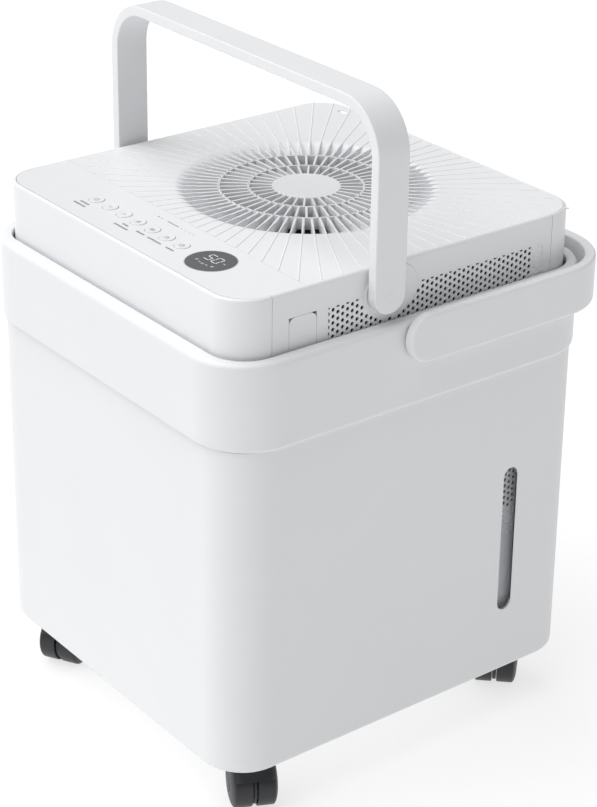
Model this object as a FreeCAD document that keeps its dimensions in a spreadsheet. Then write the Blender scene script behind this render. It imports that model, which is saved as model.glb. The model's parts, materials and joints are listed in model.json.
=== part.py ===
"""Cube dehumidifier: a drying unit nested in its wheeled water bucket.

Millimetres, +Z up, front towards -Y, side with the sight window towards +X.
The sizes below are measured from the bucket's underside at z = 0 and from the
unit's centre line; each sub-part's Placement carries it to the row's frame,
whose origin is on the floor, under the middle of the whole object.
"""
import FreeCAD, Part
import Sketcher
import math
import os
import re

SIZES = {
    # casing of the drying unit
    "unit_half_x": 166.4, "unit_half_y": 172.6, "unit_corner": 31.0, "unit_bottom": 14.0,
    "unit_top": 407.3, "casing_wall": 2.5, "front_seam": -139.4, "rear_seam": 139.9,
    "plate_thick": 3.0,
    # outlet grille and fan, both on one upright axis
    "fan_x": 0.0, "fan_y": 20.0, "grille_hub": 28.5, "grille_inner_ring": 47.6,
    "grille_outer_ring": 72.0, "grille_mouth": 90.0, "grille_rim": 108.0, "ring_thick": 2.0,
    "grille_depth": 8.0, "slat_count_inner": 32, "slat_count_middle": 50,
    "slat_count_outer": 72, "slot_width_inner": 3.6, "slot_width_outer": 4.6,
    "shaft_radius": 4.0, "running_gap": 0.05, "fan_tip": 86.0, "fan_hub": 30.0,
    "fan_low": 350.0, "fan_high": 384.0, "blade_count": 7, "blade_thick": 2.4,
    "blade_chord": 40.0, "blade_root": 4.0, "hub_cap": 6.0, "shaft_short": 8.0,
    "blade_pitch": 35.0, "motor_radius": 38.0, "motor_low": 298.0, "motor_high": 338.0,
    "shroud_inner": 92.0, "shroud_wall": 3.0, "shroud_low": 340.0, "shroud_high": 396.0,
    "spider_thick": 4.0, "spider_width": 10.0, "spider_clear": 4.0,
    # control strip
    "button_count": 7, "button_y": -137.5, "button_first_x": -72.0, "button_pitch": 20.0,
    "button_radius": 6.4, "button_gap": 0.35, "button_proud": 0.5, "button_flange": 7.8,
    "button_travel": 1.0, "display_x": 86.0, "display_y": -137.0, "display_radius": 20.6,
    "flange_thick": 1.4, "button_stem": 2.5, "button_clear": 0.2, "display_proud": 0.2,
    "board_thick": 1.6, "board_top": 397.6, "board_margin_x": 12.0, "board_margin_y": 22.0,
    "board_beyond": 24.0, "module_inset": 2.0, "switch_half": 3.0, "switch_high": 1.4,
    # carry handle of the unit
    "handle_half_x": 178.5, "handle_thick": 8.8, "handle_width": 30.0, "handle_corner": 43.0,
    "handle_top": 537.8, "handle_foot": 370.8, "handle_y": -36.9, "handle_z": 384.7,
    "handle_foot_round": 14.9, "handle_pin": 5.0, "handle_pin_end": 176.0, "handle_screw": 2.2,
    "handle_nut": 8.0, "handle_nut_thick": 3.0, "pin_clear": 0.3, "boss_radius": 25.3,
    "boss_y": -26.4, "boss_z": 381.7, "boss_proud": 1.2,
    # small cover over the drain port
    "port_low_y": -123.7, "port_high_y": -98.1, "port_low": 330.0, "port_high": 385.0,
    "port_round": 6.0, "port_gap": 0.3, "port_z": 358.0,
    # bucket
    "body_half_x": 175.1, "body_half_y": 181.7, "body_corner": 38.7, "bucket_wall": 3.0,
    "floor_thick": 4.0, "rim_top": 360.0, "rim_thick": 5.0, "mouth_half_x": 168.2,
    "mouth_half_y": 174.4, "mouth_corner": 31.0, "collar_half_x": 180.0, "collar_half_y": 186.7,
    "collar_corner": 49.7, "collar_low": 286.7, "bucket_round": 4.0, "window_y": 102.0,
    "window_width": 15.0, "window_low": 60.0, "window_high": 195.0, "window_recess": 0.8,
    "window_thick": 2.0,
    # bail of the bucket, folded back round the collar
    "bail_half_x": 190.0, "bail_back": 202.0, "bail_corner": 58.0, "bail_thick": 9.0,
    "bail_low": 326.0, "bail_high": 366.0, "bail_front": -24.0, "bail_y": -4.0, "bail_z": 346.0,
    "bail_tip_round": 19.8, "bail_pin": 4.0, "bail_bore_depth": 6.0,
    # twin-wheel casters; heights here are from the floor
    "caster_height": 50.0, "caster_x": 133.5, "caster_y": 134.5, "angle_front_left": -60.0,
    "angle_front_right": -26.0, "angle_back_left": 160.0, "angle_back_right": 136.0,
    "caster_trail": 12.0, "caster_half_width": 20.0, "wheel_radius": 22.0, "wheel_gap": 0.4,
    "wheel_dome": 6.0, "wheel_dome_radius": 12.0, "axle_radius": 3.0, "axle_half": 17.0,
    "web_half": 1.6, "web_radius": 20.0, "fender_inner": 22.8, "fender_thick": 1.6,
    "fender_low": 33.0, "fender_inset": 4.0, "seat_gap": 0.3, "stem_radius": 5.0,
    "stem_seat": 8.0, "stem_top": 60.5, "socket_radius": 8.4, "socket_depth": 11.0,
    "socket_post": 11.0, "post_top": 12.5,
    # base pan, feet and float
    "pan_floor": 2.5, "pan_rim": 24.0, "pan_gap": 0.3, "foot_x": 110.0, "foot_y": 95.0,
    "foot_radius": 12.0, "foot_tip": 10.0, "float_x": 20.0, "float_y": -96.0,
    "float_radius": 14.0, "float_low": 6.0, "float_high": 34.0, "float_travel": 12.0,
    "float_stem": 3.0, "float_stem_top": 60.0, "float_clear": 1.0, "eye_high": 6.0,
    "eye_wall": 4.0, "arm_half": 4.0, "switch_case_half": 8.0, "switch_case_beyond": 6.0,
    "switch_case_high": 14.0, "switch_case_overlap": 2.0,
    # refrigerating circuit
    "compressor_x": -78.0, "compressor_y": 62.0, "compressor_radius": 60.0,
    "compressor_low": 34.0, "compressor_high": 226.0, "dome_high": 16.0,
    "compressor_foot": 76.0, "compressor_wall": 5.0, "foot_plate": 4.0, "foot_count": 3,
    "ear_rim": 3.0, "plate_inset": 6.0, "grommet_radius": 9.0, "coil_low": 96.0,
    "coil_high": 330.0, "coil_front": -62.0, "coil_back": 148.0, "fin_count": 15.0,
    "fin_thick": 1.2, "tube_rows": 6.0, "coil_plate": 2.0, "evaporator_x": 118.0,
    "condenser_x": 74.0, "coil_thick": 32.0, "tray_low": 78.0, "tray_high": 94.0,
    "tray_wall": 2.0, "tray_margin": 4.0, "leg_width": 8.0, "tube_radius": 4.0,
    "tube_bend": 18.0, "discharge_rise": 30.0, "suction_behind": 12.0, "suction_rise": 40.0,
    "suction_bend": 8.0, "tube_wall": 1.0,
    # how far cutting tools overrun the faces that they pass through
    "cut_over": 10.0,
    # electrical parts
    "box_half_x": 62.0, "box_front": -164.0, "box_back": -118.0, "box_low": 58.0,
    "box_high": 264.0, "box_wall": 2.5, "box_leg": 10.0, "box_leg_inset": 4.0,
    "board_side": 8.0, "board_below_top": 12.0, "relay_low_x": -30.0, "relay_high_x": -6.0,
    "relay_deep": 14.0, "relay_low": 98.0, "relay_high": 126.0, "sink_low_x": 8.0,
    "sink_high_x": 44.0, "sink_deep": 16.0, "sink_low": 148.0, "sink_high": 198.0,
    "capacitor_x": -108.0, "capacitor_y": -120.0, "capacitor_radius": 18.0,
    "capacitor_high": 88.0, "pump_x": 112.0, "pump_y": -111.0, "pump_radius": 26.0,
    "pump_high": 70.0, "pump_motor_high": 12.0, "pump_motor_radius": 18.0, "hose_gap": 1.0,
    "gland_x": -112.0, "gland_z": 384.0, "gland_radius": 8.0, "gland_proud": 3.5,
    "gland_tip": 6.5, "gland_neck": 6.0, "gland_inside": 6.0, "gland_bore": 3.6,
    "filter_x": 158.5, "filter_thick": 3.0, "filter_front": -90.0, "filter_back": 130.0,
    "filter_low": 84.0, "filter_high": 368.0, "screw_x": 124.0, "screw_low": 44.0,
    "screw_high": 330.0, "screw_head": 4.0, "screw_shank": 1.8, "screw_length": 12.0,
    "screw_sunk": 2.0, "screw_head_thick": 1.6,
}

doc = FreeCAD.newDocument("Dehumidifier")
sheet = doc.addObject("Spreadsheet::Sheet", "Sizes")
for row, (alias, number) in enumerate(SIZES.items(), start=1):
    sheet.set(f"A{row}", alias)
    sheet.set(f"B{row}", str(number))
    sheet.setAlias(f"B{row}", alias)
doc.recompute()

X_AXIS = FreeCAD.Vector(1, 0, 0)
Y_AXIS = FreeCAD.Vector(0, 1, 0)
Z_AXIS = FreeCAD.Vector(0, 0, 1)
SHIFT_Y = "(collar_half_y - bail_back) / 2"
NODES = []


# ---- expressions, placements and primitives --------------------------------

def full(expression):
    """The expression with each size's name pointed at the sheet."""
    def point(match):
        word = match.group(0)
        return "Sizes." + word if word in SIZES else word
    return re.sub(r"[a-z_]+", point, str(expression))


def value(expression):
    """The expression's number, in millimetres or degrees."""
    return float(sheet.evalExpression(full(expression)))


def bind(item, name, expression):
    item.setExpression(name, full(expression))


def node(item, label):
    """Name a finished sub-part and carry it to the row's frame."""
    item.Label = label
    bind(item, "Placement.Base.y", SHIFT_Y)
    bind(item, "Placement.Base.z", "caster_height")
    NODES.append(item)


def block(name, low, high):
    """A box between two corners, each three expressions."""
    box = doc.addObject("Part::Box", name)
    for side, start, end in zip(("Length", "Width", "Height"), low, high):
        bind(box, side, f"({end}) - ({start})")
    for letter, start in zip("xyz", low):
        bind(box, "Placement.Base." + letter, start)
    return box


def rod(name, centre, radius, length, axis=Z_AXIS, tip_radius=None):
    """A cylinder, or a cone with tip_radius, from centre along axis."""
    if tip_radius is None:
        item = doc.addObject("Part::Cylinder", name)
        bind(item, "Radius", radius)
    else:
        item = doc.addObject("Part::Cone", name)
        bind(item, "Radius1", radius)
        bind(item, "Radius2", tip_radius)
    bind(item, "Height", length)
    item.Placement.Rotation = FreeCAD.Rotation(Z_AXIS, axis)
    for letter, start in zip("xyz", centre):
        bind(item, "Placement.Base." + letter, start)
    return item


def fuse(name, shapes):
    item = doc.addObject("Part::MultiFuse", name)
    item.Shapes = shapes
    return item


def cut(name, base, tools):
    item = doc.addObject("Part::Cut", name)
    item.Base = base
    item.Tool = tools[0] if len(tools) == 1 else fuse(name + "_tools", tools)
    return item


def group(name, shapes):
    """Like pieces that share one node, each a solid of its own."""
    item = doc.addObject("Part::Compound", name)
    item.Links = shapes
    return item


# ---- sketches and features of a body ---------------------------------------

def new_body(name):
    body = doc.addObject("PartDesign::Body", name)
    body.AllowCompound = True
    return body


def sketch_on(body, plane, offset="0"):
    """A sketch on the body's own XY, XZ or YZ plane, moved along its normal."""
    sketch = body.newObject("Sketcher::SketchObject", body.Name + "_sketch")
    support = [item for item in body.Origin.OriginFeatures if item.Role == plane + "_Plane"]
    sketch.AttachmentSupport = [(support[0], "")]
    sketch.MapMode = "FlatFace"
    bind(sketch, ".AttachmentOffset.Base.z", offset)
    return sketch


def hold(sketch, kind, *items):
    """Add a driving constraint whose last item is the expression of its size."""
    number = sketch.addConstraint(Sketcher.Constraint(kind, *items[:-1], value(items[-1])))
    bind(sketch, f"Constraints[{number}]", items[-1])


def outline(sketch, corners):
    """A closed outline of level and upright lines, from corners (x, y, radius)."""
    points = [FreeCAD.Vector(value(x), value(y), 0) for x, y, _ in corners]
    radii = [value(radius) for _, _, radius in corners]
    lines = []
    for start, (x, y, _) in enumerate(corners):
        end = (start + 1) % len(corners)
        way = (points[end] - points[start]).normalize()
        first = points[start] + way * radii[start]
        last = points[end] - way * radii[end]
        line = sketch.addGeometry(Part.LineSegment(first, last), False)
        lines.append((line, first, last, way))
        level = abs(way.x) > abs(way.y)
        sketch.addConstraint(Sketcher.Constraint("Horizontal" if level else "Vertical", line))
        hold(sketch, "DistanceY" if level else "DistanceX", line, 1, y if level else x)
    for index, (_, _, radius) in enumerate(corners):
        before, _, arrive, way_in = lines[index - 1]
        after, leave, _, way_out = lines[index]
        if radii[index] == 0:
            sketch.addConstraint(Sketcher.Constraint("Coincident", before, 2, after, 1))
            continue
        centre = arrive + way_out * radii[index]
        angle_in = math.atan2(arrive.y - centre.y, arrive.x - centre.x)
        angle_out = math.atan2(leave.y - centre.y, leave.x - centre.x)
        left_turn = way_in.cross(way_out).z > 0
        angles = (angle_in, angle_out) if left_turn else (angle_out, angle_in)
        circle = Part.Circle(centre, Z_AXIS, radii[index])
        arc = sketch.addGeometry(Part.ArcOfCircle(circle, *angles), False)
        start, end = (1, 2) if left_turn else (2, 1)
        sketch.addConstraint(Sketcher.Constraint("Tangent", before, 2, arc, start))
        sketch.addConstraint(Sketcher.Constraint("Tangent", arc, end, after, 1))
        hold(sketch, "Radius", arc, radius)


def rectangle(sketch, half_x, half_y, radius="0"):
    """A rounded rectangle about the sketch's origin."""
    outline(sketch, [(f"-({half_x})", f"-({half_y})", radius), (half_x, f"-({half_y})", radius),
                     (half_x, half_y, radius), (f"-({half_x})", half_y, radius)])


def circle(sketch, x, y, radius):
    centre = FreeCAD.Vector(value(x), value(y), 0)
    ring = sketch.addGeometry(Part.Circle(centre, Z_AXIS, value(radius)), False)
    hold(sketch, "Radius", ring, radius)
    hold(sketch, "DistanceX", ring, 3, x)
    hold(sketch, "DistanceY", ring, 3, y)


def upright_slot(sketch, x, width, low, high):
    """A slot with round ends, its long way along the sketch's Y."""
    half = value(width) / 2
    ends = []
    for end, turn in ((f"({low}) + ({width}) / 2", math.pi), (f"({high}) - ({width}) / 2", 0)):
        centre = FreeCAD.Vector(value(x), value(end), 0)
        arc = Part.ArcOfCircle(Part.Circle(centre, Z_AXIS, half), turn, turn + math.pi)
        ends.append(sketch.addGeometry(arc, False))
        hold(sketch, "Radius", ends[-1], f"({width}) / 2")
        hold(sketch, "DistanceX", ends[-1], 3, x)
        hold(sketch, "DistanceY", ends[-1], 3, end)
    bottom, top = ends
    for side, lower, upper in ((half, 2, 1), (-half, 1, 2)):
        across = FreeCAD.Vector(value(x) + side, 0, 0)
        start = across + Y_AXIS * (value(low) + half)
        end = across + Y_AXIS * (value(high) - half)
        line = sketch.addGeometry(Part.LineSegment(start, end), False)
        sketch.addConstraint(Sketcher.Constraint("Tangent", bottom, lower, line, 1))
        sketch.addConstraint(Sketcher.Constraint("Tangent", top, upper, line, 2))


def feature(body, kind, sketch, length, reverse=False):
    """A Pad or Pocket of the sketch; reverse turns its direction round."""
    item = body.newObject("PartDesign::" + kind, f"{body.Name}_{kind.lower()}")
    item.Profile = sketch
    item.Reversed = reverse
    if length is None:
        item.Type = "ThroughAll"
        item.Midplane = True
    else:
        bind(item, "Length", length)
    return item


def pad(body, sketch, length, reverse=False):
    return feature(body, "Pad", sketch, length, reverse)


def pocket(body, sketch, length, reverse=False):
    """Cut the sketch out, and stop if nothing was cut."""
    doc.recompute()
    before = body.Shape.Volume
    item = feature(body, "Pocket", sketch, length, reverse)
    doc.recompute()
    if not body.Shape.Volume < before:
        raise RuntimeError(f"{item.Name} cuts nothing")
    return item


def polar(body, original, count, axis_x, axis_y):
    """Repeat a feature round an upright axis through (axis_x, axis_y)."""
    centre = sketch_on(body, "XY")
    circle(centre, axis_x, axis_y, 1)
    pattern = body.newObject("PartDesign::PolarPattern", body.Name + "_pattern")
    pattern.Originals = [original]
    pattern.Axis = (centre, ["N_Axis"])
    bind(centre, ".AttachmentOffset.Base.x", axis_x)
    bind(centre, ".AttachmentOffset.Base.y", axis_y)
    pattern.Angle = 360
    bind(pattern, "Occurrences", count)
    body.Tip = pattern
    return pattern


def fillet(body, test, radius):
    """Round the edges of the body's tip whose bounding box passes the test."""
    doc.recompute()
    base = body.Tip
    names = [f"Edge{index}" for index, edge in enumerate(base.Shape.Edges, start=1)
             if test(edge.BoundBox)]
    item = body.newObject("PartDesign::Fillet", body.Name + "_fillet")
    item.Base = (base, names)
    bind(item, "Radius", radius)
    doc.recompute()
    if item.Shape.isNull():
        raise RuntimeError(f"{item.Name} failed on {len(names)} edges")
    return item


def at(low, high, place):
    """True where a box's side from low to high lies at one place."""
    return abs(low - place) < 0.01 and abs(high - place) < 0.01


# ---- bucket ------------------------------------------------------------------

CASTERS = {"front_left": (-1, -1), "front_right": (1, -1), "back_left": (-1, 1), "back_right": (1, 1)}


def caster_circles(sketch, radius):
    for side_x, side_y in CASTERS.values():
        circle(sketch, f"{side_x} * caster_x", f"{side_y} * caster_y", radius)


def bucket_rounded_edge(box):
    """The bottom edge, the rim's top edge and the collar's outer lower edge."""
    beyond = box.XMax > value("body_half_x") + 0.1 or box.XMin < -value("body_half_x") - 0.1
    beyond = beyond or box.YMax > value("body_half_y") + 0.1 or box.YMin < -value("body_half_y") - 0.1
    outer_low = at(box.ZMin, box.ZMax, value("collar_low")) and beyond
    return at(box.ZMin, box.ZMax, 0) or at(box.ZMin, box.ZMax, value("rim_top")) or outer_low


def make_bucket():
    """The tank, its thick collar, sight window opening and four caster posts."""
    body = new_body("BucketBody")
    wall = sketch_on(body, "XY")
    rectangle(wall, "body_half_x", "body_half_y", "body_corner")
    pad(body, wall, "rim_top")
    collar = sketch_on(body, "XY", "collar_low")
    rectangle(collar, "collar_half_x", "collar_half_y", "collar_corner")
    pad(body, collar, "rim_top - collar_low")
    fillet(body, bucket_rounded_edge, "bucket_round")
    inside = sketch_on(body, "XY", "floor_thick")
    rectangle(inside, "body_half_x - bucket_wall", "body_half_y - bucket_wall",
              "body_corner - bucket_wall")
    pocket(body, inside, "rim_top - rim_thick - floor_thick", reverse=True)
    mouth = sketch_on(body, "XY", "rim_top")
    rectangle(mouth, "mouth_half_x", "mouth_half_y", "mouth_corner")
    pocket(body, mouth, "rim_thick + cut_over")
    posts = sketch_on(body, "XY")
    caster_circles(posts, "socket_post")
    pad(body, posts, "post_top")
    sockets = sketch_on(body, "XY")
    caster_circles(sockets, "socket_radius + running_gap")
    pocket(body, sockets, "socket_depth", reverse=True)
    window = sketch_on(body, "YZ", "collar_half_x")
    upright_slot(window, "window_y", "window_width", "window_low", "window_high")
    pocket(body, window, "collar_half_x - body_half_x + bucket_wall + cut_over")
    pins = sketch_on(body, "YZ")
    circle(pins, "bail_y", "bail_z", "bail_pin + running_gap")
    pocket(body, pins, None)
    node(body, "bucket")


def make_bucket_window():
    """Clear lens of the water level window, welded just below the outer face."""
    body = new_body("BucketWindowBody")
    face = sketch_on(body, "YZ", "body_half_x - window_recess")
    upright_slot(face, "window_y", "window_width - 2 * running_gap",
                 "window_low + running_gap", "window_high - running_gap")
    pad(body, face, "window_thick", reverse=True)
    node(body, "bucket_window")


def make_bail_pins():
    """Two pins through the collar that the bucket's bail turns on."""
    start = "body_half_x - bucket_wall"
    length = "bail_half_x - bail_thick + bail_bore_depth - pin_clear - body_half_x + bucket_wall"
    pins = []
    for side in (-1, 1):
        centre = (f"{side} * ({start})", "bail_y", "bail_z")
        pins.append(rod("BailPin", centre, "bail_pin", length, X_AXIS * side))
    node(group("BailPins", pins), "bucket_handle_pins")


def make_bucket_handle():
    """The bail: a deep flat bow folded back round the collar."""
    body = new_body("BucketHandleBody")
    bow = sketch_on(body, "XY", "bail_low")
    inner_x = "bail_half_x - bail_thick"
    inner_y = "bail_back - bail_thick"
    inner_corner = "bail_corner - bail_thick"
    outline(bow, [("bail_half_x", "bail_front", "0"), ("bail_half_x", "bail_back", "bail_corner"),
                  ("-bail_half_x", "bail_back", "bail_corner"), ("-bail_half_x", "bail_front", "0"),
                  (f"-({inner_x})", "bail_front", "0"), (f"-({inner_x})", inner_y, inner_corner),
                  (inner_x, inner_y, inner_corner), (inner_x, "bail_front", "0")])
    pad(body, bow, "bail_high - bail_low")
    front = value("bail_front")
    fillet(body, lambda box: at(box.YMin, box.YMax, front) and box.ZLength < 0.01, "bail_tip_round")
    for side in (-1, 1):
        bore = sketch_on(body, "YZ", f"{side} * ({inner_x})")
        circle(bore, "bail_y", "bail_z", "bail_pin + running_gap")
        pocket(body, bore, "bail_bore_depth", reverse=side > 0)
    node(body, "bucket_handle")


# ---- casters -----------------------------------------------------------------

def caster_node(item, label, place):
    """Stand a caster piece, drawn about its stem, under its corner of the bucket."""
    item.Label = f"{label}_{place}"
    angle = f"angle_{place}"
    side_x, side_y = CASTERS[place]
    item.Placement.Rotation = FreeCAD.Rotation(Z_AXIS, value(angle))
    bind(item, "Placement.Rotation.Angle", angle)
    bind(item, "Placement.Base.x", f"{side_x} * caster_x")
    bind(item, "Placement.Base.y", f"{side_y} * caster_y + {SHIFT_Y}")
    NODES.append(item)


def make_hood():
    """Web between the wheels, fender over them, swivel seat and stem in one moulding."""
    hub = ("caster_trail", "-web_half", "wheel_radius")
    web = rod("Web", hub, "web_radius", "2 * web_half", Y_AXIS)
    reach = "caster_half_width - fender_inset"
    start = ("caster_trail", f"-({reach})", "wheel_radius")
    skin = rod("FenderSkin", start, "fender_inner + fender_thick", f"2 * ({reach})", Y_AXIS)
    space = rod("FenderSpace", start, "fender_inner", f"2 * ({reach})", Y_AXIS)
    below = block("FenderBelow", ("-caster_height", "-caster_height", "-caster_height"),
                  ("2 * caster_height", "caster_height", "fender_low"))
    fender = cut("Fender", skin, [space, below])
    neck = block("Neck", ("-web_half", "-web_half", "fender_low"),
                 ("caster_trail", "web_half", "caster_height - fender_thick"))
    rib_top = "wheel_radius + fender_inner + fender_thick / 2"
    rib = block("Rib", ("caster_trail - web_half", "-web_half", "wheel_radius"),
                ("caster_trail + web_half", "web_half", rib_top))
    seat = rod("Seat", ("0", "0", "wheel_radius + fender_inner"), "stem_seat",
               "caster_height - seat_gap - wheel_radius - fender_inner")
    stem = rod("Stem", ("0", "0", "wheel_radius + fender_inner"), "stem_radius",
               "stem_top - wheel_radius - fender_inner")
    solid = fuse("HoodSolid", [web, fender, neck, rib, seat, stem])
    bore = rod("HoodBore", ("caster_trail", "-caster_height", "wheel_radius"),
               "axle_radius + running_gap", "2 * caster_height", Y_AXIS)
    return cut("Hood", solid, [bore])


def make_wheel(side):
    """One wheel of the pair: a flat tread with a domed outer face and a blind bore."""
    inner = "web_half + wheel_gap"
    shoulder = "caster_half_width - wheel_dome"
    way = Y_AXIS * side
    tread = rod("Tread", ("caster_trail", f"{side} * ({inner})", "wheel_radius"),
                "wheel_radius", f"{shoulder} - ({inner})", way)
    dome = rod("Dome", ("caster_trail", f"{side} * ({shoulder})", "wheel_radius"),
               "wheel_radius", "wheel_dome", way, tip_radius="wheel_dome_radius")
    bore = rod("WheelBore", ("caster_trail", "0", "wheel_radius"),
               "axle_radius + running_gap", "axle_half + seat_gap", way)
    return cut("Wheel", fuse("WheelSolid", [tread, dome]), [bore])


def make_casters():
    for place in CASTERS:
        caster_node(make_hood(), "caster_hood", place)
        axle = rod("Axle", ("0", "0", "0"), "axle_radius", "2 * axle_half", Y_AXIS)
        bind(axle, "Placement.Base.x", "caster_trail")
        bind(axle, "Placement.Base.y", "-axle_half")
        bind(axle, "Placement.Base.z", "wheel_radius")
        caster_node(group("AxleGroup", [axle]), "caster_axle", place)
        for name, side in (("near", -1), ("far", 1)):
            caster_node(make_wheel(side), "caster_wheel", place)
            NODES[-1].Label += f"_{name}"


def make_caster_sockets():
    """Four sleeves pressed into the bucket's posts for the caster stems."""
    sleeves = []
    for side_x, side_y in CASTERS.values():
        centre = (f"{side_x} * caster_x", f"{side_y} * caster_y", "0")
        sleeve = rod("Sleeve", centre, "socket_radius", "socket_depth")
        bore = rod("SleeveBore", centre, "stem_radius + running_gap", "socket_depth")
        sleeves.append(cut("Socket", sleeve, [bore]))
    node(group("Sockets", sleeves), "caster_sockets")


# ---- casing of the drying unit -------------------------------------------------

def shell_outline(sketch, side, seam):
    """A wall that wraps two corners of the casing; side is -1 at the front."""
    inner_x = "unit_half_x - casing_wall"
    outer_y = f"{side} * unit_half_y"
    inner_y = f"{side} * (unit_half_y - casing_wall)"
    inner_corner = "unit_corner - casing_wall"
    outer = [("unit_half_x", "0"), ("unit_half_x", "unit_corner")]
    inner = [(inner_x, inner_corner), (inner_x, "0")]
    corners = []
    for way, wall in ((-side, outer), (side, outer[::-1]), (side, inner[::-1]), (-side, inner)):
        for x, radius in wall:
            y = seam if radius == "0" else (outer_y if wall[0][0] == "unit_half_x" else inner_y)
            corners.append((f"{way} * ({x})", y, radius))
    outline(sketch, corners)


def make_front_shell():
    body = new_body("FrontShellBody")
    wall = sketch_on(body, "XY", "unit_bottom")
    shell_outline(wall, -1, "front_seam")
    pad(body, wall, "unit_top - unit_bottom")
    node(body, "front_shell")


def make_rear_shell():
    """Rear wall with the cord gland's hole and four screw holes."""
    body = new_body("RearShellBody")
    wall = sketch_on(body, "XY", "unit_bottom")
    shell_outline(wall, 1, "rear_seam")
    pad(body, wall, "unit_top - unit_bottom")
    holes = sketch_on(body, "XZ", "-unit_half_y")
    circle(holes, "gland_x", "gland_z", "gland_neck")
    for side in (-1, 1):
        for height in ("screw_low", "screw_high"):
            circle(holes, f"{side} * screw_x", height, "screw_head + running_gap")
    pocket(body, holes, "casing_wall + cut_over", reverse=True)
    node(body, "rear_shell")


def make_side_panel(side, label):
    """Flat side panel with the round boss that carries the handle's pivot."""
    inner = "unit_half_x - casing_wall"
    x_low, x_high = (inner, "unit_half_x") if side > 0 else ("-unit_half_x", f"-({inner})")
    wall = block("PanelWall", (x_low, "front_seam", "unit_bottom"),
                 (x_high, "rear_seam", "unit_top - plate_thick"))
    half_boss = rod("Boss", (f"{side} * ({inner})", "boss_y", "boss_z"), "boss_radius",
                    "casing_wall + boss_proud", X_AXIS * side)
    above = block("AbovePanel", ("-collar_half_x", "-collar_half_y", "unit_top - plate_thick"),
                  ("collar_half_x", "collar_half_y", "unit_top + cut_over"))
    bore = rod("PanelBore", (f"{side} * (unit_half_x - cut_over)", "handle_y", "handle_z"),
               "handle_pin + running_gap", "2 * cut_over", X_AXIS * side)
    tools = [above, bore]
    if side > 0:
        low = ("unit_half_x - cut_over", "port_low_y - port_gap", "port_low - port_gap")
        high = ("unit_half_x + cut_over", "port_high_y + port_gap", "port_high + port_gap")
        tools.append(block("PortOpening", low, high))
    node(cut("Panel", fuse("PanelSolid", [wall, half_boss]), tools), label)


def make_top_cover():
    """Top plate: dished outlet grille, control strip, button and display holes."""
    body = new_body("TopCoverBody")
    plate = sketch_on(body, "XY", "unit_top - plate_thick")
    inset_x = "unit_half_x - casing_wall"
    inset_y = "unit_half_y - casing_wall"
    inset_corner = "unit_corner - casing_wall"
    outline(plate, [("unit_half_x", "front_seam", "0"), ("unit_half_x", "rear_seam", "0"),
                    (inset_x, "rear_seam", "0"), (inset_x, inset_y, inset_corner),
                    (f"-({inset_x})", inset_y, inset_corner), (f"-({inset_x})", "rear_seam", "0"),
                    ("-unit_half_x", "rear_seam", "0"), ("-unit_half_x", "front_seam", "0"),
                    (f"-({inset_x})", "front_seam", "0"), (f"-({inset_x})", f"-({inset_y})", inset_corner),
                    (inset_x, f"-({inset_y})", inset_corner), (inset_x, "front_seam", "0")])
    pad(body, plate, "plate_thick")
    depth = sketch_on(body, "XY", "unit_top - plate_thick")
    circle(depth, "fan_x", "fan_y", "grille_rim")
    pad(body, depth, "grille_depth", reverse=True)
    holes = sketch_on(body, "XY", "unit_top")
    for index in range(int(value("button_count"))):
        circle(holes, button_x(index), "button_y", "button_radius + button_gap")
    circle(holes, "display_x", "display_y", "display_radius + running_gap")
    pocket(body, holes, "plate_thick + cut_over")
    half_ring = "ring_thick / 2"
    bands = (("grille_hub", f"grille_inner_ring - {half_ring}", "slat_count_inner", "slot_width_inner"),
             (f"grille_inner_ring + {half_ring}", f"grille_outer_ring - {half_ring}",
              "slat_count_middle", "slot_width_outer"),
             (f"grille_outer_ring + {half_ring}", "grille_mouth", "slat_count_outer", "slot_width_outer"))
    for start, end, count, width in bands:
        slot = sketch_on(body, "XY", "unit_top")
        outline(slot, [(f"fan_x + {start}", f"fan_y - {width} / 2", "0"),
                       (f"fan_x + {end}", f"fan_y - {width} / 2", "0"),
                       (f"fan_x + {end}", f"fan_y + {width} / 2", "0"),
                       (f"fan_x + {start}", f"fan_y + {width} / 2", "0")])
        cut_one = pocket(body, slot, "grille_depth + plate_thick + cut_over")
        polar(body, cut_one, count, "fan_x", "fan_y")
    node(body, "top_cover")


# ---- control strip -------------------------------------------------------------

def button_x(index):
    return f"button_first_x + {index} * button_pitch"


def make_buttons():
    """Seven push buttons, each a cap with a flange under the plate and a stem."""
    under = "unit_top - plate_thick - button_clear"
    for index in range(int(value("button_count"))):
        x = button_x(index)
        cap = rod("Cap", (x, "button_y", under), "button_radius", f"unit_top + button_proud - ({under})")
        flange_low = f"{under} - flange_thick"
        flange = rod("Flange", (x, "button_y", flange_low), "button_flange", "flange_thick")
        stem_low = "board_top + switch_high + button_travel + button_clear"
        stem = rod("ButtonStem", (x, "button_y", stem_low), "button_stem", f"{under} - ({stem_low})")
        node(fuse("Button", [cap, flange, stem]), f"button_{index + 1}")


def make_control_board():
    """Board under the strip with a switch under each button and the display module."""
    low = ("button_first_x - board_margin_x", "button_y - board_margin_y", "board_top - board_thick")
    high = ("display_x + board_beyond", "button_y + board_margin_y", "board_top")
    pieces = [block("Board", low, high)]
    for index in range(int(value("button_count"))):
        x = button_x(index)
        corner = (f"{x} - switch_half", "button_y - switch_half", "board_top")
        opposite = (f"{x} + switch_half", "button_y + switch_half", "board_top + switch_high")
        pieces.append(block("Switch", corner, opposite))
    pieces.append(rod("Module", ("display_x", "display_y", "board_top"),
                      "display_radius - module_inset", "unit_top - plate_thick - board_top"))
    node(fuse("ControlBoard", pieces), "control_board")


def make_display_lens():
    lens = rod("Lens", ("display_x", "display_y", "unit_top - plate_thick"), "display_radius",
               "plate_thick + display_proud")
    node(group("LensGroup", [lens]), "display_lens")


# ---- carry handle --------------------------------------------------------------

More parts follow.
